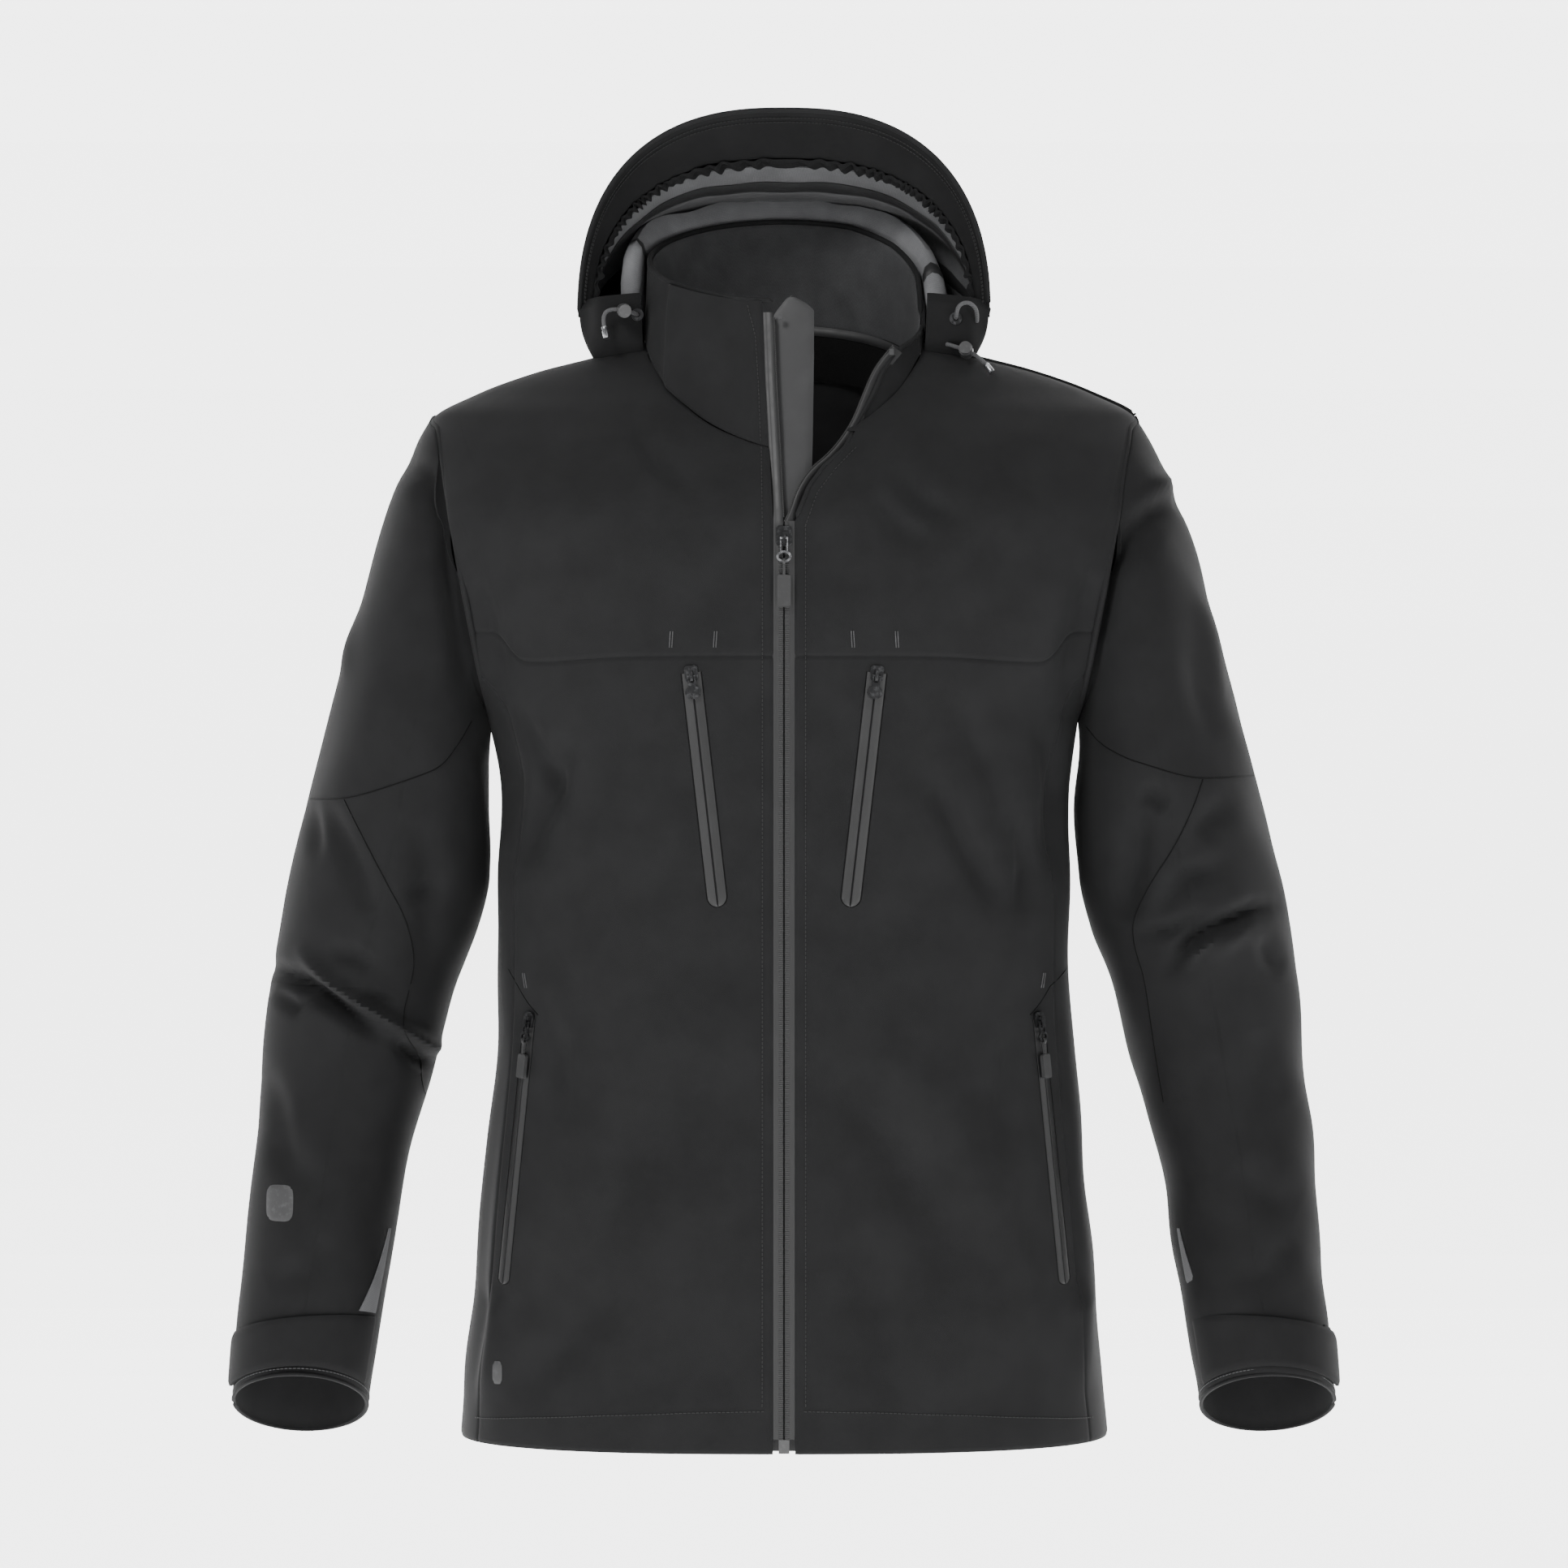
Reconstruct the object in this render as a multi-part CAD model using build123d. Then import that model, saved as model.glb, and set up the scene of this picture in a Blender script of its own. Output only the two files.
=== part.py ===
"""A hooded waterproof shell jacket in the shape it has when worn, held by its back neck loop.

Millimetres. The wearer faces -Y, +Z is up and +X is the wearer's left. The origin is the
point under the neck loop where a hook carries the jacket.
Every fabric panel is a thin strip solid lofted through level or tilted sections.
"""
from build123d import *
from math import asin, cos, degrees, hypot, radians, sin
import os

# ---------------------------------------------------------------- driving dimensions
WALL = 2.4               # shell laminate with its lining
GAP = 0.4                # room between two pieces that move apart
HEM_Z = -744.0           # lower edge of the body
SIDE_Y = -72.0           # fore-and-aft place of the side seams and shoulder ridge
YOKE_Z = -224.0          # seam between the chest yoke and the body fronts
ARMPIT_Z = -262.0
OPEN_Z = -133.0          # the main zip is open above this height
ZIP_HALF = 7.3           # half the width of the visible main zip
TAPE = 1.0               # zip tape thickness
TAPE_RECESS = 0.6        # how far the tape lies behind the face of the panels
SIDE_SEAM = (66, 114)    # angles of the two side panel seams, 0 in front and 180 behind

# Body sections: height, half width, depth in front of and behind the side, roundness of each
TORSO = [
    (HEM_Z, 219, 134.0, 118, 2.6, 2.6),
    (-600, 206, 128.8, 110, 2.6, 2.6),
    (-430, 193, 122.7, 103, 2.6, 2.6),
    (-310, 193, 118.4, 108, 2.6, 2.6),
    (ARMPIT_Z, 199, 116.6, 114, 2.6, 2.6),
    (YOKE_Z, 224, 115.3, 118, 2.6, 2.6),
    (-160, 250, 113.0, 120, 2.6, 2.4),
    (OPEN_Z, 252, 112.0, 118, 2.6, 2.3),
    (-84, 246, 91.0, 110, 2.4, 1.9),
    (-58, 238, 68.0, 103, 2.2, 1.5),
    (-41, 207, 51.0, 99, 2.0, 1.3),
    (-27, 168, 36.0, 96, 2.0, 1.3),
    (-14, 118, 20.0, 93, 2.0, 1.3),
]
ARMHOLE_TOP = (236.0, -58.0)      # x and z of the shoulder tip
ARMHOLE_LOW = (199.0, ARMPIT_Z)   # x and z of the armpit

# Sleeve sections: x, z of the outer edge, x, z of the inner edge, middle y, half depth,
# and how far the back edge hangs below the front edge, per millimetre of depth
SLEEVE = [
    (238.5, -58, 200.9, -262, -72, 72, 0),
    (256, -90, 201, -285, -72, 75, 0),
    (276, -140, 200, -305, -72, 77, 0),
    (292, -200, 199, -325, -71, 77, 0),
    (310, -265, 198.5, -345, -69, 76, 0),
    (327, -330, 200, -370, -67, 73, 0),
    (341, -390, 209, -405, -65, 69, 0),
    (349, -440, 223, -443, -64, 65, 0),
    (353, -490, 237, -492, -66, 60, 0),
    (359, -560, 254, -560, -75, 55, 0),
    (364, -630, 266, -632, -88, 51, 0.1),
    (368, -675, 273, -673, -95, 49, 0.25),
    (371, -722, 280, -722, -100, 49, 0.5),
]
ELBOW = 7                # the sleeve section where the forearm starts

# Collar: foot and rim ellipses in tilted planes: front y, front z, back y, back z, half width
COLLAR_FOOT = (-163, -84, 22, -5, 97)
COLLAR_RIM = (-138, 15, 30, 86, 93)
FRONT_LINE = [(HEM_Z, -206.0), (OPEN_Z, -184.0), (-84, -163.0), (15, -138.0)]

# Hood: an axis through both cheeks, and sections turned about it from the brim backwards
HOOD_AXIS_Y = -70.0
HOOD_AXIS_Z = 5.0
HOOD_P = 2.5             # roundness of the arch
HOOD = [(-2, 140, 147), (12, 140, 148.5), (25, 139, 150), (38, 137, 154), (50, 134, 155),
        (65, 130, 149), (78, 126, 140), (90, 121, 131)]

# The sheets inside the hood: the brim slopes down to the gathered edge, and the lining
# runs back from there and over the collar
BRIM = [(-2, 137.3, 144.3), (12, 130, 118.6)]
GATHERED_EDGE = [(12.2, 130, 118.4), (16.2, 129, 116.6)]
HOOD_LINING = [(16.4, 129, 116.4), (25, 128, 115), (34, 128, 120), (42, 129, 132), (50, 131, 146),
               (65, 127, 146), (78, 123, 137), (90, 118, 128)]

ZIP_TOOTH = 1.6          # thickness of the zip coil


def lerp(a, b, t):
    return a + (b - a) * t


def at_height(rows, z):
    """The row of a table of sections at height z, between its two neighbours."""
    for upper, lower in zip(rows[1:], rows[:-1]):
        if lower[0] <= z <= upper[0]:
            t = (z - lower[0]) / (upper[0] - lower[0])
            return [lerp(p, q, t) for p, q in zip(lower, upper)]
    return list(rows[0] if z < rows[0][0] else rows[-1])


def strip(sections):
    """A thin solid through sections, each an outer and an inner row of points."""
    faces = []
    for outer, inner in sections:
        edges = [Spline(*outer), Line(outer[-1], inner[-1]), Spline(*inner[::-1])]
        edges.append(Line(inner[0], outer[0]))
        faces.append(make_face(Wire(edges)))
    return loft(faces, ruled=True)


def spread(start, stop, count):
    return [lerp(start, stop, i / (count - 1)) for i in range(count)]


def other_side(solid):
    return mirror(solid, about=Plane.YZ)


# ---------------------------------------------------------------- body panels
def torso_point(angle, z, inset=0.0):
    """A point on the body at an angle from the front centre towards the wearer's left."""
    _, half, front, back, round_front, round_back = at_height(TORSO, z)
    s, c = sin(radians(angle)), cos(radians(angle))
    depth, power = (front, round_front) if c >= 0 else (back, round_back)
    x = (half - inset) * abs(s) ** (2 / power) * (1 if s >= 0 else -1)
    y = SIDE_Y - (depth - inset) * abs(c) ** (2 / power) * (1 if c >= 0 else -1)
    return (x, y, z)


def angle_at_x(x, z, behind=False):
    row = at_height(TORSO, z)
    angle = degrees(asin(min(1.0, x / row[1]) ** (row[5 if behind else 4] / 2)))
    return 180 - angle if behind else angle


def armhole_x(z):
    (xt, zt), (xl, zl) = ARMHOLE_TOP, ARMHOLE_LOW
    return lerp(xl, xt, (z - zl) / (zt - zl))


def panel(heights, start, stop, outer=0.0, inner=WALL, count=8):
    """A body panel between two edges, each given as an angle for every height."""
    sections = []
    for z in heights:
        angles = spread(start(z), stop(z), count)
        sections.append(([torso_point(a, z, outer) for a in angles],
                         [torso_point(a, z, inner) for a in angles]))
    return strip(sections)


def zip_edge(z):
    return angle_at_x(ZIP_HALF, z)


def open_zip_edge(z):
    """The wearer's left front, pulled aside above the slider."""
    return angle_at_x(at_height(OPEN_EDGE, z)[1], z) if z > OPEN_Z else zip_edge(z)


def front_armhole_edge(z):
    return angle_at_x(armhole_x(z), z) if z < ARMHOLE_TOP[1] else 90


def back_armhole_edge(z):
    return angle_at_x(armhole_x(z), z, behind=True) if z < ARMHOLE_TOP[1] else 90


def fixed(angle):
    return lambda z: angle


BODY_Z = [HEM_Z, -600, -430, -310, ARMPIT_Z]
CHEST_Z = [YOKE_Z, -190, -160, OPEN_Z, -110, -84, -58, -49, -41, -27, -14]


def lower_front_edge(z):
    return SIDE_SEAM[0] if z <= ARMPIT_Z else front_armhole_edge(z)


def lower_back_edge(z):
    return SIDE_SEAM[1] if z <= ARMPIT_Z else back_armhole_edge(z)


def ring_point(row_foot, row_rim, t, angle, inset):
    """A point on a tilted ring between the foot and the rim of the collar."""
    yf, zf, yb, zb, half = [lerp(p, q, t) for p, q in zip(row_foot, row_rim)]
    middle, depth = (yf + yb) / 2, (yb - yf) / 2 - inset
    x = (half - inset) * sin(radians(angle))
    y = middle - depth * cos(radians(angle))
    return (x, y, lerp(zf, zb, (y - yf) / (yb - yf)))


def collar_strip(start, stop, outer=0.0, inner=WALL, count=9, low=0.0, high=1.0):
    """A collar panel. start and stop are angles at the foot and at the rim."""
    sections = []
    for t in spread(low, high, 2):
        angles = spread(lerp(*start, t), lerp(*stop, t), count)
        rings = [[ring_point(COLLAR_FOOT, COLLAR_RIM, t, a, inset) for a in angles]
                 for inset in (outer, inner)]
        sections.append(rings)
    return strip(sections)


def neck_cutter():
    """The whole inside of the collar, which the yokes end on."""
    faces = []
    for t in (-0.25, 1.2):
        ring = [ring_point(COLLAR_FOOT, COLLAR_RIM, t, 15 * i, -0.3) for i in range(24)]
        faces.append(make_face(Wire([Spline(*ring, periodic=True)])))
    return loft(faces, ruled=True)


# Left front above the slider: height and x of the edge of the cloth
OPEN_EDGE = [(OPEN_Z, ZIP_HALF), (-110, 16.5), (-97, 26), (-84, 40), (-50, 60), (-14, 80)]


def torso_panels():
    chest_low = [ARMPIT_Z, YOKE_Z]
    fronts = panel(BODY_Z[:-1] + chest_low, zip_edge, lower_front_edge, count=10)
    sides = panel(BODY_Z, fixed(SIDE_SEAM[0]), fixed(SIDE_SEAM[1]))
    back = panel(BODY_Z[:-1] + chest_low, lower_back_edge,
                 lambda z: 360 - lower_back_edge(z), count=15)
    neck = neck_cutter()
    yoke_left = panel(CHEST_Z, open_zip_edge, front_armhole_edge, count=10) - neck
    yoke_right = other_side(panel(CHEST_Z, zip_edge, front_armhole_edge, count=10)) - neck
    back_yoke = panel(CHEST_Z, back_armhole_edge, lambda z: 360 - back_armhole_edge(z),
                      count=17) - neck
    return {
        "front_body_left": fronts,
        "front_body_right": other_side(fronts),
        "side_panel_left": sides,
        "side_panel_right": other_side(sides),
        "back_body": back,
        "back_yoke": back_yoke,
        "front_yoke_left": largest(yoke_left),
        "front_yoke_right": largest(yoke_right),
    }


def largest(shape):
    return max(shape.solids(), key=lambda s: s.volume)


# ---------------------------------------------------------------- collar
FOOT_OPEN, RIM_OPEN = 24.5, 84      # angles where the open front edge meets foot and rim


def collar_panels():
    edge = ZIP_HALF + 0.6
    zip_foot, zip_rim = [degrees(asin(edge / row[4])) for row in (COLLAR_FOOT, COLLAR_RIM)]
    right = collar_strip((-90, -90), (-zip_foot, -zip_rim))
    left = collar_strip((FOOT_OPEN, RIM_OPEN), (95, 95), count=7)
    back = collar_strip((95.2, 95.2), (269.8, 269.8), count=13)
    lining = collar_strip((100, 100), (260, 260), WALL + 0.1, WALL + 1.1, 13, 0.12, 0.97)
    base = collar_strip((86, 86), (274, 274), -9.0, -7.0, 15, 0.42, 1.07)
    return {
        "collar_front_right": right,
        "collar_front_left": left,
        "collar_back": back,
        "collar_lining": lining,
        "hood_neck_panel": base,
    }


def hanger_loop():
    """A webbing loop in front of the collar lining. Its lower edge is the hook's seat."""
    half, reach, thick, tall = 30, 13.2, 1.2, 6
    path = ThreePointArc((-half, reach, 0), (0, 0, 0), (half, reach, 0))
    inner = ThreePointArc((half, reach + thick, 0), (0, thick, 0), (-half, reach + thick, 0))
    ends = [Line(path @ 1, inner @ 0), Line(inner @ 1, path @ 0)]
    return extrude(make_face(Wire([path, ends[0], inner, ends[1]])), tall)


# ---------------------------------------------------------------- main zip
def bar_through(sections):
    """A flat strip through level rectangles: height, x from, x to, front y, thickness."""
    faces = []
    for z, x0, x1, y, thick in sections:
        corners = [(x0, y, z), (x1, y, z), (x1, y + thick, z), (x0, y + thick, z)]
        faces.append(make_face(Polyline(*corners, close=True)))
    return loft(faces, ruled=True)


def front_y(z):
    return at_height(FRONT_LINE, z)[1]


# Left zip edge above the slider: height, x of the coil edge, y of the tape face
LEFT_OPENING = [(-110, 9.2, -173.3), (-97, 18.6, -168), (-84, 32, -161), (-50, 51.5, -139),
                (-14, 71, -117)]
TAPE_TOP = 8.0


BOX = (7.0, 4.8, 9.0)    # the retaining box at the foot: width, depth and height
BOX_WALL = 1.2
BOX_FLOOR = 3.0
STOP = (3.0, 1.2, 4.0)   # the top stops


def retaining_box(y):
    """A front and a back wall on a floor, about the foot of both tapes."""
    wide, deep, tall = BOX
    walls = [Pos(0, y + 0.8 + shift, HEM_Z + 5) * Box(wide, BOX_WALL, tall)
             for shift in (0.0, 3.8)]
    return walls[0] + walls[1] + Pos(0, y + 2.6, HEM_Z + 2) * Box(wide, deep, BOX_FLOOR)


def main_zip():
    half_gap, coil = 0.5, 2.6
    face = TAPE_RECESS
    heights = [HEM_Z + 4, OPEN_Z, -84, TAPE_TOP]
    right = bar_through([(z, -ZIP_HALF + 0.1, -half_gap, front_y(z) + face, TAPE)
                         for z in heights])
    right_coil = bar_through([(z, -half_gap - coil, -half_gap - 0.1,
                               front_y(z) + face + TAPE, ZIP_TOOTH) for z in heights])
    closed = [(z, half_gap, ZIP_HALF - 0.1, front_y(z) + face, TAPE) for z in heights[:2]]
    opened = [(z, x, x + ZIP_HALF - 1, y, TAPE) for z, x, y in LEFT_OPENING]
    left = bar_through(closed + opened)
    closed = [(z, half_gap + 0.1, half_gap + coil, front_y(z) + face + TAPE, ZIP_TOOTH)
              for z in heights[:2]]
    opened = [(z, x + 0.1, x + coil, y + TAPE, ZIP_TOOTH) for z, x, y in LEFT_OPENING]
    left_coil = bar_through(closed + opened)
    y = front_y(HEM_Z)
    stop_right = Pos(-2.4, front_y(TAPE_TOP) + face - 2.6, TAPE_TOP - 3) * Box(*STOP)
    stop_left = Pos(LEFT_OPENING[-1][1] + 1, LEFT_OPENING[-1][2] - 5.4, -17) * Box(*STOP)
    room = Pos(0, y + 2.0, HEM_Z + 4) * Box(BOX[0] + 0.2, 7, 12)
    return {
        "main_zip_right": largest(right + right_coil - room),
        "main_zip_left": largest(left + left_coil - room),
        "main_zip_ends": Compound([*retaining_box(y).solids(), stop_right, stop_left]),
    }


def storm_flap():
    back = 6.4
    rows = [(HEM_Z + 6, -14, 16), (OPEN_Z, -14, 18), (-84, -15, 19.5), (-10, -16, 20),
            (8, -6, 20), (18.5, 1, 8)]
    return bar_through([(z, x0, x1, front_y(z) + back, 1.4) for z, x0, x1 in rows])


# ---------------------------------------------------------------- sliders and pulls
# A slider is drawn lying on its zip: X across, Y up along the zip, Z out of the fabric,
# with its origin on the puller's hinge and the tape face AXIS_UP below it.
PLATE = 1.4
TAPE_ROOM = 0.3                       # between the tape face and the slider's top plate
BAR_R = 0.7                           # the puller's cross bar
AXIS_UP = TAPE_ROOM + PLATE + 1.0     # hinge height over the tape face
RING_REACH = {"main": 14.5, "hand": 11.5}            # from the hinge to the ring's far bar
RING = {"main": (5.0, 3.9), "hand": (4.2, 3.4)}      # half width and half height of the ring
RING_BAR = 0.85                       # from there to the middle of that bar


def slider(width, length):
    deep = TAPE_ROOM + PLATE + TAPE + ZIP_TOOTH + 0.4
    top = Pos(0, 1.5, -AXIS_UP + TAPE_ROOM) * extrude(RectangleRounded(width, length, 2.2), PLATE)
    low = Pos(0, 1.5, top.bounding_box().min.Z - deep + TAPE_ROOM) * extrude(
        RectangleRounded(width, length, 2.2), PLATE - 0.2)
    web_low, web_high = low.bounding_box().min.Z + 0.6, top.bounding_box().min.Z + 0.6
    web = Pos(0, 1.5, (web_low + web_high) / 2) * Box(0.6, length * 0.5, web_high - web_low)
    roof = Pos(0, 0, BAR_R + 0.9) * Box(2.4, 7.4, 1.2)
    legs = [Pos(0, y, -0.1) * Box(2.4, 1.6, 2.6) for y in (-2.9, 2.9)]
    return top + low + web + roof + legs[0] + legs[1]


def puller_ring(name):
    """Two arms from the cross bar under the bridge to an oval ring."""
    reach, (wide, tall) = RING_REACH[name], RING[name]
    bar = Rot(0, 90, 0) * Cylinder(BAR_R, 5.4)
    arm = reach - 2 * tall + 3.2
    arms = [Pos(s * 2.2, -arm / 2, 0) * Box(1.0, arm, 1.3) for s in (-1, 1)]
    ring = Pos(0, -reach + tall - 1.6, 0) * (
        extrude(Ellipse(wide, tall), 0.65, both=True)
        - extrude(Ellipse(wide - 1.5, tall - 1.5), 2, both=True))
    window = Box(3.3, 9.0, 4)
    return bar + (arms[0] - bar) + (arms[1] - bar) + (ring - window)


def pull_tab(length, width):
    """A cord loop round the ring's far bar with a moulded grip, from the loop's centre."""
    loop = Rot(0, 90, 0) * (Cylinder(2.15, 1.8) - Cylinder(1.15, 4))
    cord = Pos(0, -5.6, 0) * Box(1.8, 7.4, 1.8)
    grip = Pos(0, -9 - length / 2, -1.3) * extrude(
        RectangleRounded(width, length, 1.6), 2.6)
    return loop + cord + grip


def bell_puller():
    """A short moulded puller with a round end."""
    bar = Rot(0, 90, 0) * Cylinder(BAR_R, 5.4)
    arms = [Pos(s * 2.2, -2.6, 0) * Box(1.0, 5.2, 1.3) for s in (-1, 1)]
    plate = Pos(0, -5.8, 0) * extrude(RectangleRounded(5.4, 2.6, 0.6), 0.65, both=True)
    disc = Pos(0, -11.0, 0) * extrude(Ellipse(5.2, 4.4), 0.8, both=True)
    return bar + (arms[0] - bar) + (arms[1] - bar) + plate + disc


def main_slider_place():
    """The main slider's frame: its hinge, with Z out of the front and Y up the zip."""
    tilt = (front_y(HEM_Z) - front_y(OPEN_Z)) / (HEM_Z - OPEN_Z)
    up = Vector(0, tilt, 1).normalized()
    out = Vector(0, -1, tilt).normalized()
    z = OPEN_Z - 11.5
    origin = Vector(0, front_y(z) + TAPE_RECESS, z) + out * AXIS_UP
    return Plane(origin=origin, x_dir=up.cross(out), z_dir=out)


# ---------------------------------------------------------------- pocket zips
CHEST_TOP, CHEST_LOW = (61, -233), (44, -380)
HAND_TOP, HAND_LOW = (169, -462), (186, -634)
POCKET_HALF = 6.7        # half the width of a pocket zip
POCKET_RECESS = 0.4


def surface_point(x, z):
    return Vector(*torso_point(angle_at_x(x, z), z))


def surface_normal(x, z):
    angle = angle_at_x(x, z)
    here = Vector(*torso_point(angle, z))
    along = Vector(*torso_point(angle + 0.5, z)) - here
    up = Vector(*torso_point(angle, z + 2)) - here
    out = along.cross(up)
    return out.normalized() * (1 if out.Y < 0 else -1)


def zip_plane(top, low):
    """The frame of a pocket zip at its upper end: Y up along it and Z out of the fabric."""
    p, q = surface_point(*top), surface_point(*low)
    up = (p - q).normalized()
    out = surface_normal((top[0] + low[0]) / 2, (top[1] + low[1]) / 2)
    out = (out - up * out.dot(up)).normalized()
    return Plane(origin=p, x_dir=up.cross(out), z_dir=out), (p - q).length


def slot(half, length, low, high):
    """A round-ended slot from the upper end of a zip down its length."""
    shape = Pos(0, -length / 2) * SlotOverall(length + 2 * half, 2 * half, 90)
    return Pos(0, 0, low) * extrude(shape, high - low)


def pocket_zip(top, low):
    """The tape and coils of a pocket zip, the slot it needs, and its slider's place."""
    plane, length = zip_plane(top, low)
    loc = plane.location
    groove = Pos(0, -length / 2 + 8, 0) * Box(1.0, length + 4, 8)
    tape = slot(POCKET_HALF - 0.15, length, -POCKET_RECESS - TAPE, -POCKET_RECESS) - groove
    coils = [Pos(s * 1.7, -length / 2, -POCKET_RECESS - TAPE - ZIP_TOOTH / 2)
             * Box(2.0, length - 2, ZIP_TOOTH) for s in (-1, 1)]
    cutter = loc * slot(POCKET_HALF, length, -14, 14)
    place = plane.offset(-POCKET_RECESS + AXIS_UP)
    place = Plane(origin=place.origin - plane.y_dir * 2.0, x_dir=plane.x_dir, z_dir=plane.z_dir)
    return {"tape": loc * (tape + coils[0] + coils[1]), "cutter": cutter,
            "place": place, "travel": length - 10}


def pocket_bag(z0, z1, x0, x1, inset):
    """A flat mesh bag hanging behind the front."""
    return panel([z0, z1], lambda z: angle_at_x(x0, z), lambda z: angle_at_x(x1, z),
                 inset, inset + 1.6, 6)


# ---------------------------------------------------------------- sleeves
def sleeve_row(t):
    i = min(int(t), len(SLEEVE) - 2)
    return [lerp(p, q, t - i) for p, q in zip(SLEEVE[i], SLEEVE[i + 1])]


def sleeve_point(t, angle, inset=0.0, shift=0.0):
    """A point round sleeve section t: 0 outer edge, 90 back, 180 inner edge, 270 front."""
    xo, zo, xi, zi, y, depth, hang = sleeve_row(t)
    half = hypot(xo - xi, zo - zi) / 2
    ux, uz = (xo - xi) / (2 * half), (zo - zi) / (2 * half)
    a, b = (half - inset) * cos(radians(angle)), (depth - inset) * sin(radians(angle))
    return ((xo + xi) / 2 + a * ux, y + b, (zo + zi) / 2 + a * uz - b * hang + shift)


def sleeve_strip(rows, start, stop, outer=0.0, inner=WALL, count=11, first_shift=0.0):
    """start and stop are angles, or functions of the section."""
    sections = []
    for n, t in enumerate(rows):
        a0 = start(t) if callable(start) else start
        a1 = stop(t) if callable(stop) else stop
        shift = first_shift if n == 0 else 0.0
        sections.append(([sleeve_point(t, a, outer, shift) for a in spread(a0, a1, count)],
                         [sleeve_point(t, a, inner, shift) for a in spread(a0, a1, count)]))
    return strip(sections)


STRAP_TOP, STRAP_LOW = 10.85, 11.9      # sleeve sections of the cuff strap's edges
STRAP_HINGE = 197                       # angle of the strap's sewn end


def left_sleeve():
    upper, lower = list(range(ELBOW + 1)), list(range(ELBOW, len(SLEEVE)))
    gusset = sleeve_strip([9.6, 10, STRAP_TOP - 0.04], 204,
                          lambda t: lerp(206, 216, (t - 9.6) / 1.2), -0.9, -0.25, 4)
    return {
        "sleeve_upper_outer": sleeve_strip(upper, -90, 90),
        "sleeve_upper_under": sleeve_strip(upper, 90, 270),
        "forearm": Compound([sleeve_strip(lower, -90, 90, first_shift=-GAP),
                             sleeve_strip(lower, 90, 270, first_shift=-GAP)]),
        "cuff_gusset": gusset,
        "cuff_loop_patch": sleeve_strip([STRAP_TOP + 0.1, 11, STRAP_LOW - 0.25], -30, 32,
                                        -0.85, -0.2, 6),
        "cuff_strap": sleeve_strip([STRAP_TOP, 11, STRAP_LOW], STRAP_HINGE, 357,
                                   -3.3, -1.3, 13),
    }


def strap_hinge():
    """A point on the strap's sewn edge and the edge's direction, for the left sleeve."""
    low = Vector(*sleeve_point(STRAP_LOW, STRAP_HINGE, -2.1))
    top = Vector(*sleeve_point(STRAP_TOP, STRAP_HINGE, -2.1))
    return low, (top - low).normalized()


# ---------------------------------------------------------------- hood
def hood_point(turn, across, half, reach, inset=0.0):
    """A point of the hood's arch, in a plane turned back by an angle from upright."""
    s, c = sin(radians(across)), cos(radians(across))
    x = (half - inset) * abs(c) ** (2 / HOOD_P) * (1 if c >= 0 else -1)
    r = (reach - inset) * abs(s) ** (2 / HOOD_P)
    return (x, HOOD_AXIS_Y + r * sin(radians(turn)), HOOD_AXIS_Z + r * cos(radians(turn)))


def hood_strip(rows, outer, inner, low=3.0, count=17):
    sections = []
    for turn, half, reach in rows:
        angles = spread(low, 180 - low, count)
        sections.append(([hood_point(turn, a, half, reach, outer) for a in angles],
                         [hood_point(turn, a, half, reach, inner) for a in angles]))
    return strip(sections)


# The two cheek flaps, which fill the corner between the hood's rim and the collar
CHEEK_Y = -86.0
CHEEK_PLAN = [(94.5, CHEEK_Y), (126, CHEEK_Y), (133, -74), (131.4, -73), (125, -84), (94.5, -84)]
CHEEK_FACE = [(90, -9), (112, -12), (127, -8), (134, 3), (134, 24), (114, 22), (90, 17)]
EYELETS = {"left": (116.0, 8.5), "right": (-99.0, 11.0)}
CORD_R = 1.4


def cheek(side):
    x_sign = 1 if side == "left" else -1
    plan = make_face(Polyline(*[(x_sign * x, y, -20) for x, y in CHEEK_PLAN], close=True))
    face = make_face(Polyline(*[(x_sign * x, -100, z) for x, z in CHEEK_FACE], close=True))
    flap = extrude(plan, 50, dir=(0, 0, 1)) & extrude(face, 50, dir=(0, 1, 0))
    x, z = EYELETS[side]
    return largest(flap - Pos(x, -85, z) * Rot(90, 0, 0) * Cylinder(2.6, 8))


def eyelet(side):
    x, z = EYELETS[side]
    hole = Cylinder(1.8, 9)
    barrel = Pos(0, -85.4, 0) * Rot(90, 0, 0) * (Cylinder(2.5, 4.0) - hole)
    flange = Pos(0, -86.7, 0) * Rot(90, 0, 0) * (Cylinder(4.2, 1.2) - hole)
    return Pos(x, 0, z) * (barrel + flange)


def hood_cord(points, radii):
    path = FilletPolyline(*points, radius=radii)
    start = Plane(origin=path @ 0, z_dir=path % 0)
    return sweep(start * Circle(CORD_R), path=path), path.length


def cord_radii(points):
    """As large an arc at each corner as its two runs allow."""
    radii = []
    for a, b, c in zip(points, points[1:], points[2:]):
        run_in, run_out = Vector(*b) - Vector(*a), Vector(*c) - Vector(*b)
        half_turn = radians(run_in.get_angle(run_out)) / 2
        radii.append(0.45 * min(run_in.length, run_out.length) / (sin(half_turn) / cos(half_turn)))
    return radii


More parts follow.
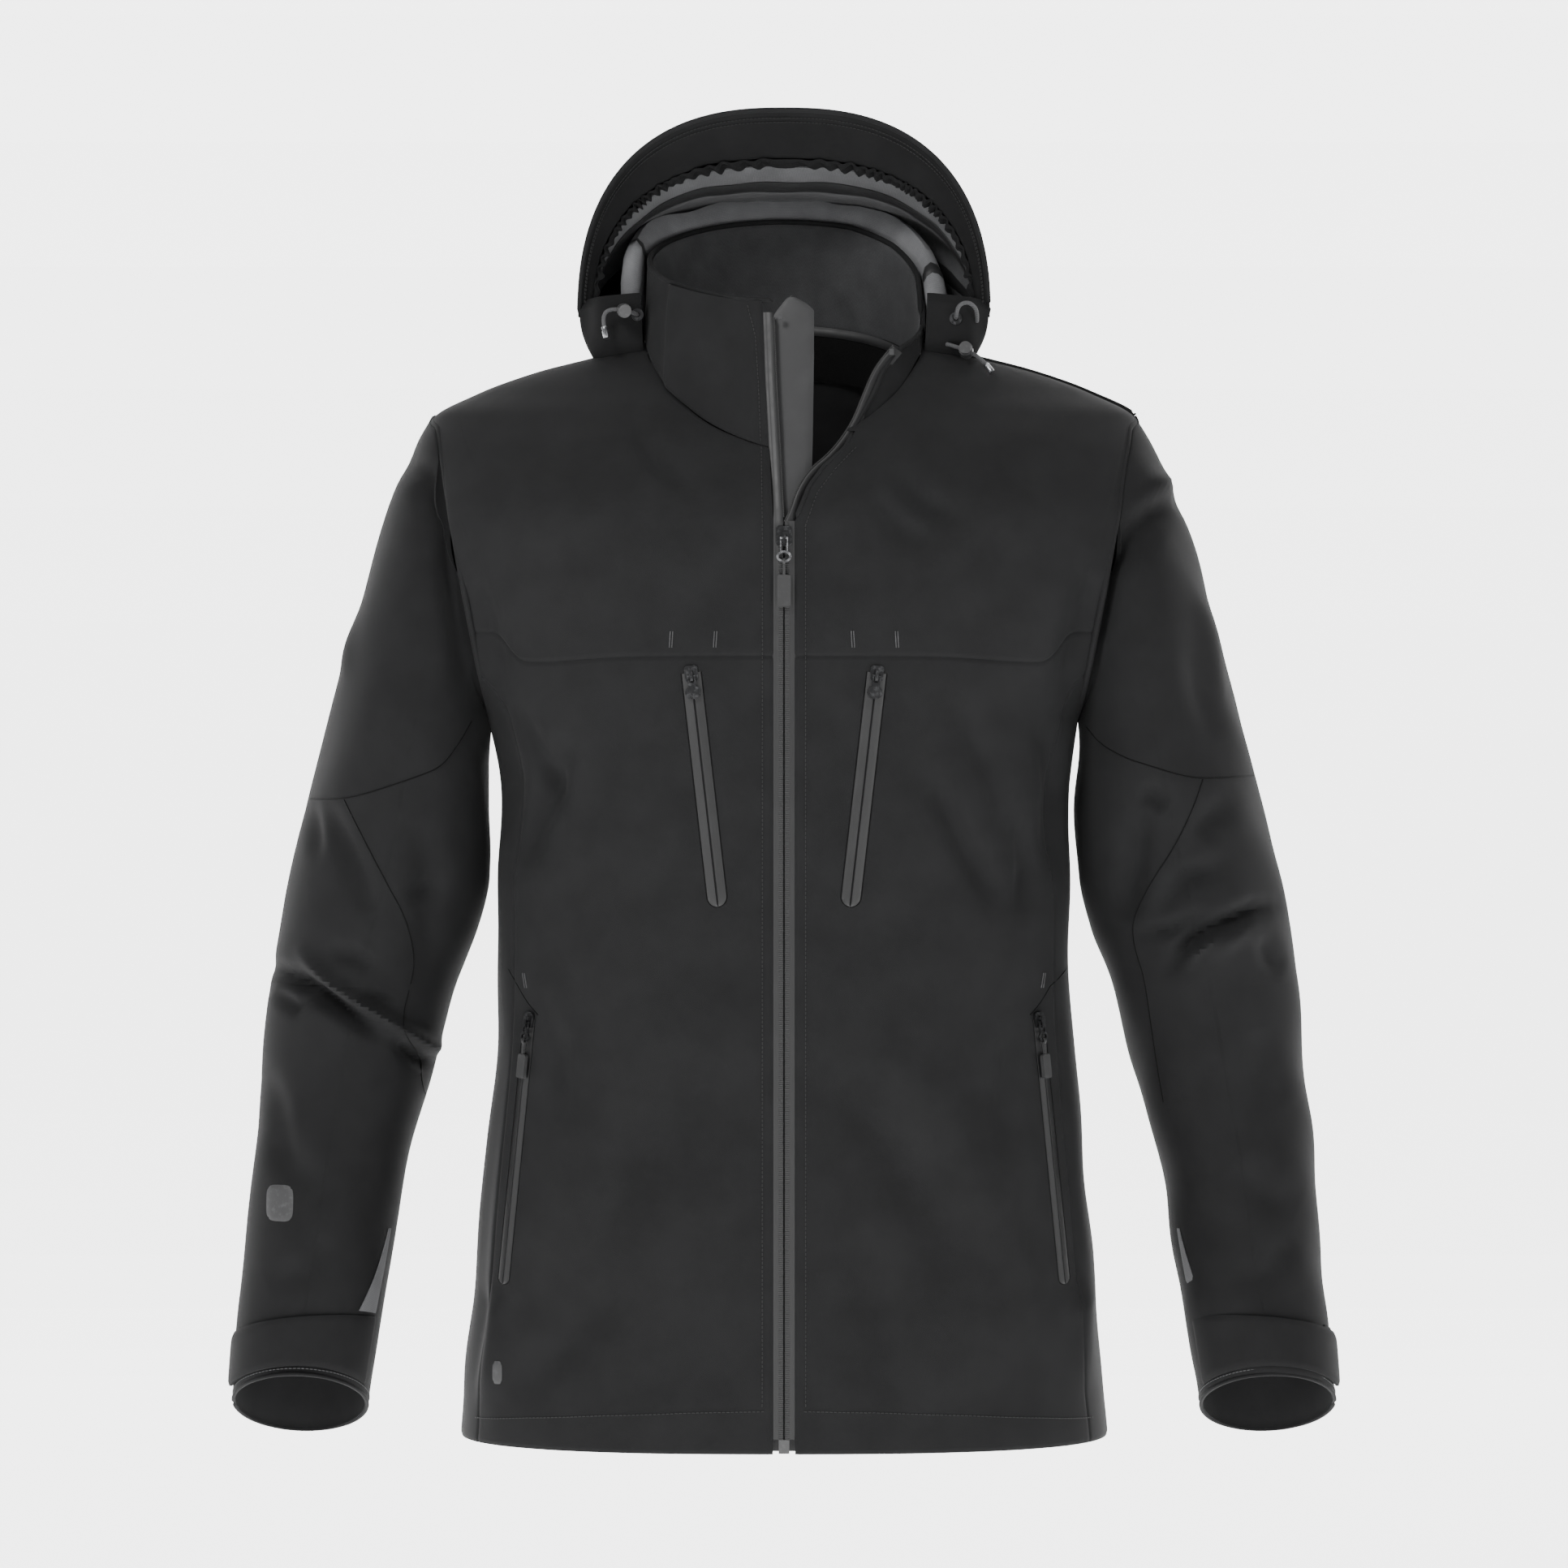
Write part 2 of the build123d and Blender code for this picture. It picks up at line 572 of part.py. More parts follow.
# Each tail of the hood cord, from its eyelet or tunnel through its lock to its free end
TAILS = {
    "left": [(110, -87.5, -9), (114.5, -93, -10.5), (131, -95.5, -17), (136, -101, -24)],
    "right": [(-99, -84.5, 11), (-100, -92.5, 11.5), (-116, -94.5, 15), (-122.5, -95, 10),
              (-121, -96, 2)],
}
LOCK_RUN = 1                            # the straight run of each that the lock is on
LOCK_PRESS = {"left": (-0.35, -0.9, 0.25), "right": (0.25, -0.95, -0.15)}
ARC = [(116, -83, 8.5), (116, -90, 9), (117.5, -93.5, 17), (124.5, -92, 19.5), (131, -88, 14),
       (130.5, -80.6, 7)]
LOCK_R, LOCK_LONG, PRESS = 4.8, 11.0, 2.4


def cord_lock(side):
    """A barrel lock and its spring button about the cord, and the way the button presses."""
    route = TAILS[side]
    a, b = Vector(*route[LOCK_RUN]), Vector(*route[LOCK_RUN + 1])
    along = (b - a).normalized()
    out = Vector(*LOCK_PRESS[side])
    out = (out - along * out.dot(along)).normalized()
    frame = Plane(origin=(a + b) / 2, x_dir=along, z_dir=out)
    bore = Rot(0, 90, 0) * Cylinder(CORD_R + 0.5, 30)
    barrel = extrude(Circle(LOCK_R), LOCK_LONG / 2, both=True)
    barrel -= Pos(0, 0, -LOCK_LONG / 2 + 1.2) * extrude(Circle(LOCK_R - 1.1), LOCK_LONG)
    barrel -= bore
    button = Pos(0, 0, -LOCK_LONG / 2 + 1.3 + PRESS) * extrude(Circle(LOCK_R - 1.3),
                                                              LOCK_LONG - 0.1)
    button += Pos(0, 0, LOCK_LONG / 2 + PRESS + 0.2) * extrude(Circle(LOCK_R - 0.6), 1.4)
    button -= Pos(0, 0, PRESS / 2) * Box(30, 2 * CORD_R + 1.0, 2 * CORD_R + 1.0 + PRESS)
    return frame.location * barrel, frame.location * largest(button), out


def hood_pieces():
    pieces = {
        "hood_shell": hood_strip(HOOD, 0, WALL),
        "hood_brim": hood_strip(BRIM, 0, 1.3),
        "hood_edge_elastic": hood_strip(GATHERED_EDGE, 0, 3.4, 6.0),
        "hood_lining": hood_strip(HOOD_LINING, 0, 1.1),
        "hood_cheeks": Compound([cheek("left"), cheek("right")]),
        "hood_eyelets": Compound([eyelet("left"), eyelet("right")]),
        "hood_cord_arc": hood_cord(ARC, cord_radii(ARC))[0],
    }
    clips = []
    for side, route in TAILS.items():
        barrel, button, _ = cord_lock(side)
        pieces[f"hood_cord_{side}"] = hood_cord(route, cord_radii(route))[0]
        pieces[f"cord_lock_{side}"] = barrel
        pieces[f"cord_button_{side}"] = button
        end = Vector(*route[-1])
        heading = (end - Vector(*route[-2])).normalized()
        clips.append(Plane(origin=end, z_dir=heading).location * extrude(Circle(2.2), 8))
    pieces["hood_cord_ends"] = Compound(clips)
    return pieces


# ---------------------------------------------------------------- the whole jacket
def jacket():
    parts = torso_panels() | collar_panels() | main_zip()
    parts["storm_flap"] = storm_flap()
    parts["hanger_loop"] = hanger_loop()
    chest, hand = pocket_zip(CHEST_TOP, CHEST_LOW), pocket_zip(HAND_TOP, HAND_LOW)
    front = parts["front_body_left"] - chest["cutter"] - hand["cutter"]
    parts["front_body_left"] = largest(front)
    parts["front_body_right"] = other_side(largest(front))
    for name, found in (("chest", chest), ("hand", hand)):
        tape = found["tape"]
        parts[f"{name}_zip_tapes"] = Compound([*tape.solids(), *other_side(tape).solids()])
        body = slider(8.8, 10.5)
        pull = bell_puller() if name == "chest" else puller_ring(name)
        for side, turn in (("left", lambda s: s), ("right", other_side)):
            parts[f"{name}_slider_{side}"] = turn(found["place"].location * body)
            parts[f"{name}_puller_{side}"] = turn(found["place"].location * pull)
            if name == "hand":
                below = Pos(0, -RING_REACH[name] - RING_BAR, 0)
                tab = found["place"].location * (below * pull_tab(16, 7.6))
                parts[f"hand_tab_{side}"] = turn(tab)
    chest_bag = pocket_bag(-400, -236, 22, 130, 9.0)
    hand_bag = pocket_bag(-700, -440, 60, 150, 12.0)
    parts["pocket_bags"] = Compound([chest_bag, hand_bag, other_side(chest_bag),
                                     other_side(hand_bag)])
    place = main_slider_place().location
    parts["main_slider"] = place * slider(10.6, 13)
    parts["main_puller"] = place * puller_ring("main")
    parts["main_tab"] = place * (Pos(0, -RING_REACH["main"] - RING_BAR, 0) * pull_tab(21, 9))
    for name, solid in left_sleeve().items():
        parts[f"{name}_left"] = solid
        parts[f"{name}_right"] = other_side(solid)
    return parts | hood_pieces()


def report_joints():
    """Prints the axes that the record states, in metres."""
    def metres(v):
        return [round(c / 1000, 6) for c in v]

    def unit(v):
        return [round(c, 6) for c in v]

    main = main_slider_place()
    print("main slide axis", unit(main.y_dir), "hinge", metres(main.origin), unit(main.x_dir))
    print("main tab hinge", metres(main.origin - main.y_dir * (RING_REACH["main"] + RING_BAR)))
    for name, top, low in (("chest", CHEST_TOP, CHEST_LOW), ("hand", HAND_TOP, HAND_LOW)):
        found = pocket_zip(top, low)
        place = found["place"]
        print(name, "slide", unit(place.y_dir), "travel", round(found["travel"], 1),
              "hinge", metres(place.origin), unit(place.x_dir))
        if name == "hand":
            print("tab hinge", metres(place.origin - place.y_dir * (RING_REACH[name] + RING_BAR)))
    point, direction = strap_hinge()
    print("strap hinge", metres(point), unit(direction))
    for side, route in TAILS.items():
        radii = [round(r, 1) for r in cord_radii(route)]
        print("cord", side, round(hood_cord(route, cord_radii(route))[1], 1), "radii", radii,
              "button", unit(cord_lock(side)[2]))
    radii = [round(r, 1) for r in cord_radii(ARC)]
    print("cord arc", round(hood_cord(ARC, cord_radii(ARC))[1], 1), "radii", radii)
    print("elbow", [round(c / 1000, 5) for c in sleeve_point(ELBOW, 270)])


if __name__ == "__main__":
    os.makedirs("parts", exist_ok=True)
    for old in os.listdir("parts"):
        os.remove(os.path.join("parts", old))
    for name, shape in jacket().items():
        export_step(shape, f"parts/{name}.step")
    report_joints()
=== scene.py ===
"""A hooded waterproof shell jacket in the shape it has when worn.

Sizes are millimetres in the pattern functions and metres in every finished mesh.
The wearer faces -Y, +Z is up and +X is the wearer's left.
"""
import bisect
from functools import lru_cache
from math import asin, cos, degrees, hypot, pi, radians, sin

import bmesh
import bpy
import numpy as np
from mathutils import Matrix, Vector
from mathutils.bvhtree import BVHTree


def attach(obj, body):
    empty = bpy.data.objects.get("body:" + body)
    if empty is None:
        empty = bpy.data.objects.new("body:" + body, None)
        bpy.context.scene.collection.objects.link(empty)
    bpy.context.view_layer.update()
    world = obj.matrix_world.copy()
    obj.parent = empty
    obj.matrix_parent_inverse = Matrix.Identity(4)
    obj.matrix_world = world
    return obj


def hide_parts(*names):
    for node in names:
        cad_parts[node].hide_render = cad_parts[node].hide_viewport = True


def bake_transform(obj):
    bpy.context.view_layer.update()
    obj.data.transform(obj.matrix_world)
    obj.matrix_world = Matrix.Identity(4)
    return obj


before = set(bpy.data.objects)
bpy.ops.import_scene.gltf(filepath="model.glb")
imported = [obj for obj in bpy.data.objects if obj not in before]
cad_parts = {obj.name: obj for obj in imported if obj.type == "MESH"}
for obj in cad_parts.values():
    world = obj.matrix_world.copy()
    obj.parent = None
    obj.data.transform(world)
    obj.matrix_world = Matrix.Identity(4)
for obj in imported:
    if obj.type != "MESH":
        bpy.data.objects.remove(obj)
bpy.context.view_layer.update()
MM = 0.001


# ---------------------------------------------------------------- camera
def set_camera():
    data = bpy.data.cameras.new("view")
    data.lens = 121.96
    data.sensor_width = 36
    data.clip_end = 60
    camera = bpy.data.objects.new("view", data)
    camera.location = (0, -3.675, -0.306)
    camera.rotation_euler = (radians(90), 0, 0)
    bpy.context.scene.collection.objects.link(camera)
    bpy.context.scene.camera = camera


set_camera()


# ---------------------------------------------------------------- finishes
class Value:
    """A shader socket that works in an expression like a number."""

    def __init__(self, finish, socket):
        self.finish, self.socket = finish, socket

    def math(self, operation, *others, swap=False):
        terms = (*others, self) if swap else (self, *others)
        return self.finish.add("ShaderNodeMath", {"operation": operation}, dict(enumerate(terms)))

    def __add__(self, other):
        return self.math("ADD", other)

    def __mul__(self, other):
        return self.math("MULTIPLY", other)

    def __sub__(self, other):
        return self.math("SUBTRACT", other)

    def __rsub__(self, other):
        return self.math("SUBTRACT", other, swap=True)

    __radd__, __rmul__ = __add__, __mul__

    def wave(self):
        return self.math("SINE")

    def step(self, low, high):
        """0 below low, 1 above high, and a smooth rise between."""
        sockets = {"Value": self, "From Min": low, "From Max": high}
        return self.finish.add("ShaderNodeMapRange", {"interpolation_type": "SMOOTHSTEP"}, sockets)


class Finish:
    """One material, built node by node."""

    def __init__(self, name, **constants):
        self.material = bpy.data.materials.new(name)
        self.material.use_nodes = True
        self.tree = self.material.node_tree
        self.tree.nodes.clear()
        self.shader = self.tree.nodes.new("ShaderNodeBsdfPrincipled")
        output = self.tree.nodes.new("ShaderNodeOutputMaterial")
        self.tree.links.new(self.shader.outputs[0], output.inputs[0])
        for socket, value in constants.items():
            self.shader.inputs[socket.replace("_", " ")].default_value = value

    def add(self, kind, settings=None, sockets=None, output=0):
        node = self.tree.nodes.new(kind)
        for key, value in (settings or {}).items():
            setattr(node, key, value)
        for key, value in (sockets or {}).items():
            if isinstance(value, Value):
                self.tree.links.new(value.socket, node.inputs[key])
            else:
                node.inputs[key].default_value = value
        return Value(self, node.outputs[output])

    def place(self):
        """Metres in the jacket's own frame."""
        return self.add("ShaderNodeTexCoord", output="Object")

    def cloth_map(self):
        """Metres along and across the cloth."""
        return self.add("ShaderNodeUVMap", {"uv_map": "cloth"})

    def axes(self, vector):
        node = self.tree.nodes.new("ShaderNodeSeparateXYZ")
        self.tree.links.new(vector.socket, node.inputs[0])
        return [Value(self, node.outputs[i]) for i in range(3)]

    def grain(self, scale, detail=2.0, rough=0.5):
        sockets = {"Vector": self.place(), "Scale": scale, "Detail": detail, "Roughness": rough}
        return self.add("ShaderNodeTexNoise", None, sockets)

    def blend(self, factor, first, second):
        """A colour between two colours."""
        rgba = [c if isinstance(c, Value) else (*c, 1) for c in (first, second)]
        return self.add("ShaderNodeMix", {"data_type": "RGBA"},
                        {0: factor, 6: rgba[0], 7: rgba[1]}, output=2)

    def colour(self, value):
        self.tree.links.new(value.socket, self.shader.inputs["Base Color"])

    def roughness(self, value):
        self.tree.links.new(value.socket, self.shader.inputs["Roughness"])

    def relief(self, height, depth, strength=1.0):
        """Bump from a height of 0 to 1 that stands for a depth in metres."""
        bump = self.add("ShaderNodeBump", None, {"Height": height, "Distance": depth,
                                                 "Strength": strength})
        self.tree.links.new(bump.socket, self.shader.inputs["Normal"])


def grey(level):
    """A neutral colour with a trace of blue, from a display level of 0 to 255."""
    linear = (level / 255) ** 2.2
    return (linear * 0.985, linear * 0.995, linear * 1.03)


def weave(finish, pitch):
    """Threads over and under each other, 0 to 1, on the cloth map."""
    across, along, _ = finish.axes(finish.cloth_map())
    turns = 2 * pi / pitch
    return (across * turns).wave() * (along * turns).wave() * 0.5 + 0.5


def shell_finish(name, level):
    """Matt stretch shell: a fine plain weave with a faintly mottled, dry face."""
    cloth = Finish(name, Specular_IOR_Level=0.1, Sheen_Weight=0.02, Sheen_Roughness=0.5)
    threads = weave(cloth, 0.00055)
    mottle = cloth.grain(38, 3)
    fuzz = cloth.grain(1500, 2, 0.65)
    tone = (mottle * 0.5 + fuzz * 0.3 + threads * 0.2).step(0.28, 0.72)
    cloth.colour(cloth.blend(tone, grey(level * 0.9), grey(level * 1.1)))
    cloth.roughness(fuzz * 0.16 + mottle * 0.08 + 0.66)
    cloth.relief(threads * 0.4 + fuzz * 0.6, 0.00022, 0.65)
    return cloth.material


def lining_finish(name, level, pitch=0.0011):
    """Warp-knit lining with fine ribs and a soft bloom."""
    cloth = Finish(name, Specular_IOR_Level=0.12, Sheen_Weight=0.04, Sheen_Roughness=0.5)
    across, along, _ = cloth.axes(cloth.cloth_map())
    ribs = (across * (2 * pi / pitch)).wave() * 0.5 + 0.5
    loops = (along * (2 * pi / (pitch * 0.8))).wave() * 0.5 + 0.5
    mottle = cloth.grain(60, 3)
    fuzz = cloth.grain(1300, 2, 0.6)
    tone = (mottle * 0.45 + ribs * loops * 0.25 + fuzz * 0.3).step(0.2, 0.75)
    cloth.colour(cloth.blend(tone, grey(level * 0.86), grey(level * 1.1)))
    cloth.roughness(mottle * 0.1 + 0.78)
    cloth.relief(ribs * loops * 0.6 + fuzz * 0.4, 0.0003, 0.6)
    return cloth.material


def coated_finish(name, level, gloss=0.42):
    """Smooth polymer face of welded tape, with faint rolling marks along it."""
    film = Finish(name, Specular_IOR_Level=0.45)
    _, along, _ = film.axes(film.cloth_map())
    rolled = film.grain(260, 2, 0.5)
    orange_peel = film.grain(2200, 1)
    scuff = film.grain(45, 4, 0.6).step(0.45, 0.75)
    film.colour(film.blend(scuff, grey(level), grey(level * 1.12)))
    film.roughness(rolled * 0.14 + scuff * 0.1 + gloss)
    lines = (along * 2600).wave() * 0.25 + 0.5
    film.relief(orange_peel * 0.5 + rolled * 0.3 + lines * 0.2, 0.0001, 0.5)
    return film.material


def metal_finish(name, level, rough=0.3):
    """Plated die-cast metal with rubbed edges and fine scratches."""
    metal = Finish(name, Specular_IOR_Level=0.5, Metallic=0.95)
    rub = metal.grain(420, 4, 0.6).step(0.45, 0.68)
    scratch = metal.grain(2600, 1)
    metal.colour(metal.blend(rub, grey(level), grey(min(235, level * 1.35))))
    metal.roughness(rub * 0.12 + scratch * 0.12 + rough)
    metal.relief(scratch, 0.00006, 0.5)
    return metal.material


def moulded_finish(name, level, rough=0.45, coat=0.0):
    """Moulded plastic or rubber with a spark-eroded grain and worn high spots."""
    plastic = Finish(name, Specular_IOR_Level=0.5, Coat_Weight=coat, Coat_Roughness=0.3)
    spark = plastic.grain(3200, 2, 0.6)
    wear = plastic.grain(300, 4, 0.6).step(0.5, 0.75)
    plastic.colour(plastic.blend(wear, grey(level), grey(level * 1.3 + 4)))
    plastic.roughness(spark * 0.15 + wear * 0.12 + rough)
    plastic.relief(spark, 0.00008, 0.5)
    return plastic.material


def braid_finish(name, level):
    """Braided cord sheath: two sets of yarns that cross on the cord's own map."""
    cord = Finish(name, Specular_IOR_Level=0.25, Sheen_Weight=0.05)
    x, y, z = cord.axes(cord.place())
    one = ((x + z) * 4200 + y * 1900).wave()
    two = ((x - z) * 4200 - y * 1900).wave()
    yarn = one * two * 0.5 + 0.5
    hair = cord.grain(2400, 2)
    cord.colour(cord.blend((yarn * 0.7 + hair * 0.3).step(0.2, 0.8), grey(level * 0.75),
                           grey(level * 1.12)))
    cord.roughness(hair * 0.15 + 0.62)
    cord.relief(yarn * 0.7 + hair * 0.3, 0.0003, 0.8)
    return cord.material


def pile_finish(name, level):
    """The looped side of a touch fastener."""
    pile = Finish(name, Specular_IOR_Level=0.15, Sheen_Weight=0.1)
    loops = pile.add("ShaderNodeTexVoronoi", {"feature": "F1"},
                     {"Vector": pile.place(), "Scale": 1300})
    hair = pile.grain(2600, 3, 0.7)
    pile.colour(pile.blend((loops * 0.6 + hair * 0.5).step(0.2, 0.8), grey(level * 1.3),
                           grey(level * 0.6)))
    pile.roughness(hair * 0.1 + 0.85)
    pile.relief(1 - loops, 0.0006, 0.8)
    return pile.material


def webbing_finish(name, level):
    """Ribbed woven tape."""
    tape = Finish(name, Specular_IOR_Level=0.2, Sheen_Weight=0.05)
    across, along, _ = tape.axes(tape.cloth_map())
    ribs = (across * (2 * pi / 0.0009)).wave() * 0.5 + 0.5
    floats = (along * (2 * pi / 0.0016)).wave() * 0.5 + 0.5
    hair = tape.grain(2000, 2)
    tape.colour(tape.blend((ribs * floats * 0.6 + hair * 0.4).step(0.1, 0.8), grey(level * 0.8),
                           grey(level * 1.15)))
    tape.roughness(hair * 0.12 + 0.68)
    tape.relief(ribs * 0.5 + floats * 0.5, 0.0003, 0.8)
    return tape.material


def mesh_finish(name, level):
    """Knitted pocket mesh with small round holes."""
    net = Finish(name, Specular_IOR_Level=0.2)
    across, along, _ = net.axes(net.cloth_map())
    turns = 2 * pi / 0.0024
    holes = ((across * turns).wave() * (along * turns).wave()).step(0.35, 0.5)
    hair = net.grain(1800, 2)
    net.colour(net.blend(hair.step(0.3, 0.7), grey(level * 0.85), grey(level * 1.1)))
    net.roughness(hair * 0.1 + 0.75)
    net.relief(1 - holes, 0.0003, 0.8)
    return net.material


SHELL = shell_finish("shell cloth", 30.5)
# A darker copy of the shell cloth: painted shade, used on the brim and the cheeks.
SHADED_SHELL = shell_finish("shell cloth painted shade", 27)
SLEEVE_CLOTH = shell_finish("sleeve cloth", 29)
SEAM = shell_finish("seam shadow", 14)
LINING = lining_finish("hood lining", 84)
ROLL_CLOTH = lining_finish("neck roll knit", 104)
COLLAR_KNIT = lining_finish("collar knit", 60, 0.0009)
# Dark cloth made far darker than the shell: painted shade for the dark inside of the neck.
SHADED_FACING = lining_finish("neck facing painted shade", 10)
ELASTIC = shell_finish("gathered binding", 26)
COATED = coated_finish("coated zip tape", 27)
FLAP_FILM = coated_finish("flap film", 39, 0.5)
SEAM_TAPE = coated_finish("seam tape", 34, 0.5)
PARTING = moulded_finish("zip coil", 12, 0.5)
PILE = pile_finish("loop pile", 22)
NET = mesh_finish("pocket mesh", 34)
WEBBING = webbing_finish("loop webbing", 28)
DARK_METAL = metal_finish("dark plated metal", 52, 0.3)
BRIGHT_METAL = metal_finish("bright metal", 120, 0.22)
RUBBER = moulded_finish("pull rubber", 30, 0.5)
MOULDING = moulded_finish("lock moulding", 44, 0.3, 0.2)
LABEL = moulded_finish("label face", 44, 0.5)
CORD = braid_finish("elastic cord", 70)
THREAD = moulded_finish("sewing thread", 58, 0.6)
DARK_THREAD = moulded_finish("dark thread", 13, 0.6)


# ---------------------------------------------------------------- cords
CORD_THICK = 0.0028
TAILS = {
    "left": [(0.110, -0.0875, -0.009), (0.1145, -0.093, -0.0105), (0.131, -0.0955, -0.017),
             (0.136, -0.101, -0.024)],
    "right": [(-0.099, -0.0845, 0.011), (-0.100, -0.0925, 0.0115), (-0.116, -0.0945, 0.015),
              (-0.1225, -0.095, 0.010), (-0.121, -0.096, 0.002)],
}
CORD_ARC = [(0.116, -0.083, 0.0085), (0.116, -0.090, 0.009), (0.1175, -0.0935, 0.017),
            (0.1245, -0.092, 0.0195), (0.131, -0.088, 0.014), (0.1305, -0.0806, 0.007)]


def new_object(name, data):
    piece = bpy.data.objects.new(name, data)
    bpy.context.scene.collection.objects.link(piece)
    return piece


def cord_curve(name, points):
    curve = bpy.data.curves.new(name, "CURVE")
    curve.dimensions = "3D"
    spline = curve.splines.new("NURBS")
    spline.points.add(len(points) - 1)
    for knot, point in zip(spline.points, points):
        knot.co = (*point, 1)
    spline.order_u = 3
    spline.use_endpoint_u = True
    spline.resolution_u = 12
    curve.bevel_depth = CORD_THICK / 2
    curve.bevel_resolution = 4
    curve.use_fill_caps = True
    curve.materials.append(CORD)
    return new_object(name, curve)


def turned_piece(name, start, along, profile, material, sides=20):
    """A round solid about a line: profile is (distance along, radius) in millimetres."""
    along = Vector(along).normalized()
    turn = Vector((0, 0, 1)).rotation_difference(along).to_matrix()
    mesh = bmesh.new()
    rings = []
    for far, radius in profile:
        ring = []
        for i in range(sides):
            angle = 2 * pi * i / sides
            point = turn @ Vector((radius * cos(angle), radius * sin(angle), far)) * MM
            ring.append(mesh.verts.new(Vector(start) + point))
        rings.append(ring)
    for low, high in zip(rings, rings[1:]):
        for i in range(sides):
            j = (i + 1) % sides
            mesh.faces.new((low[i], low[j], high[j], high[i]))
    mesh.faces.new(rings[0][::-1])
    mesh.faces.new(rings[-1])
    return finish_mesh(name, mesh, material)


def finish_mesh(name, mesh, material, sharp=35):
    data = bpy.data.meshes.new(name)
    bmesh.ops.recalc_face_normals(mesh, faces=mesh.faces)
    mesh.to_mesh(data)
    mesh.free()
    data.materials.append(material)
    data.polygons.foreach_set("use_smooth", [True] * len(data.polygons))
    data.set_sharp_from_angle(angle=radians(sharp))
    return new_object(name, data)


CLIP = [(-0.4, 1.3), (-0.2, 1.9), (0.3, 2.2), (1.6, 2.2), (1.9, 1.75), (2.5, 1.75), (2.8, 2.2),
        (6.8, 2.2), (7.7, 1.8), (8.0, 1.1)]


def cords():
    for side, points in TAILS.items():
        tail = cord_curve(f"cord_tail_{side}", points)
        heading = Vector(points[-1]) - Vector(points[-2])
        clip = turned_piece(f"cord_clip_{side}", points[-1], heading, CLIP, BRIGHT_METAL)
        for piece, slot in ((tail, "cord"), (clip, "bright_metal")):
            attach(piece, "torso")
        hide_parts(f"hood_cord_{side}")
        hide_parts("hood_cord_ends")
    arc = cord_curve("cord_arc", CORD_ARC)
    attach(arc, "torso")
    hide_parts("hood_cord_arc")


cords()


# ---------------------------------------------------------------- pattern of the jacket
HEM_Z, ARMPIT_Z, OPEN_Z, SIDE_Y = -744.0, -262.0, -133.0, -72.0
ZIP_HALF, POCKET_HALF = 7.3, 6.7
# Height, half width, depth in front of and behind the side, roundness in front and behind
TORSO = [
    (HEM_Z, 219, 134.0, 118, 2.6, 2.6), (-600, 206, 128.8, 110, 2.6, 2.6),
    (-430, 193, 122.7, 103, 2.6, 2.6), (-310, 193, 118.4, 108, 2.6, 2.6),
    (ARMPIT_Z, 199, 116.6, 114, 2.6, 2.6), (-224, 224, 115.3, 118, 2.6, 2.6),
    (-160, 250, 113.0, 120, 2.6, 2.4), (OPEN_Z, 252, 112.0, 118, 2.6, 2.3),
    (-84, 246, 91.0, 110, 2.4, 1.9), (-58, 238, 68.0, 103, 2.2, 1.5),
    (-41, 207, 51.0, 99, 2.0, 1.3), (-27, 168, 36.0, 96, 2.0, 1.3),
    (-14, 118, 20.0, 93, 2.0, 1.3), (-6, 96, 12.0, 91, 2.0, 1.3)]
ARMHOLE_TOP, ARMHOLE_LOW = (236.0, -58.0), (199.0, ARMPIT_Z)
# Outer x and z, inner x and z, middle y, half depth, hang of the back edge
SLEEVE = [
    (238.5, -58, 200.9, -262, -72, 72, 0), (256, -90, 201, -285, -72, 75, 0),
    (276, -140, 200, -305, -72, 77, 0), (292, -200, 199, -325, -71, 77, 0),
    (310, -265, 198.5, -345, -69, 76, 0), (327, -330, 200, -370, -67, 73, 0),
    (341, -390, 209, -405, -65, 69, 0), (349, -440, 223, -443, -64, 65, 0),
    (353, -490, 237, -492, -66, 60, 0), (359, -560, 254, -560, -75, 55, 0),
    (364, -630, 266, -632, -88, 51, 0.1), (368, -675, 273, -673, -95, 49, 0.25),
    (371, -722, 280, -722, -100, 49, 0.5)]
ELBOW, CUFF = 7, 12
# Front y and z, back y and z, half width
COLLAR_FOOT, COLLAR_RIM = (-163, -84, 22, -5, 97), (-138, 15, 30, 86, 93)
FRONT_SEAM, BACK_SEAM = 66, 114          # angles of the side panel's seams at the hem
OPEN_FOOT, DROOP_END = 24.5, 98          # angles where the open collar starts and is upright
SHOULDER_Z = -57.0                       # height of the shoulder's outer tip
NECK_AXIS, HOOD_HEART = (0, -60, None), (0, -60, 10)
FRONT_LINE = [(HEM_Z, -206.0), (OPEN_Z, -184.0), (-84, -163.0), (15, -138.0)]
OPEN_EDGE = [(OPEN_Z, ZIP_HALF), (-110, 16.5), (-97, 26), (-84, 40), (-50, 60), (-14, 80)]
# The open edge of the left collar: angle round the neck and height from foot to rim
COLLAR_EDGE = [(0, 24.5), (0.1, 29), (0.29, 38.4), (0.43, 43.9), (0.5, 49.3), (0.55, 57.4)]
HOOD_Y, HOOD_Z, ARCH = -70.0, 5.0, 2.5
HOOD = [(-2, 140, 147), (12, 140, 148.5), (25, 139, 150), (38, 137, 154), (50, 134, 155),
        (65, 130, 149), (78, 126, 140), (90, 121, 131)]
BRIM = [(-2, 137.3, 144.3), (5, 134.3, 132.5), (12, 130, 118.6)]
HOOD_LINING = [(16.4, 129, 116.4), (25, 128, 115), (34, 128, 120), (42, 129, 132),
               (50, 131, 146), (65, 127, 146), (78, 123, 137), (90, 118, 128)]


def lerp(a, b, t):
    return a + (b - a) * t


def ramp(t, low=0.0, high=1.0):
    t = min(1.0, max(0.0, (t - low) / (high - low)))
    return t * t * (3 - 2 * t)


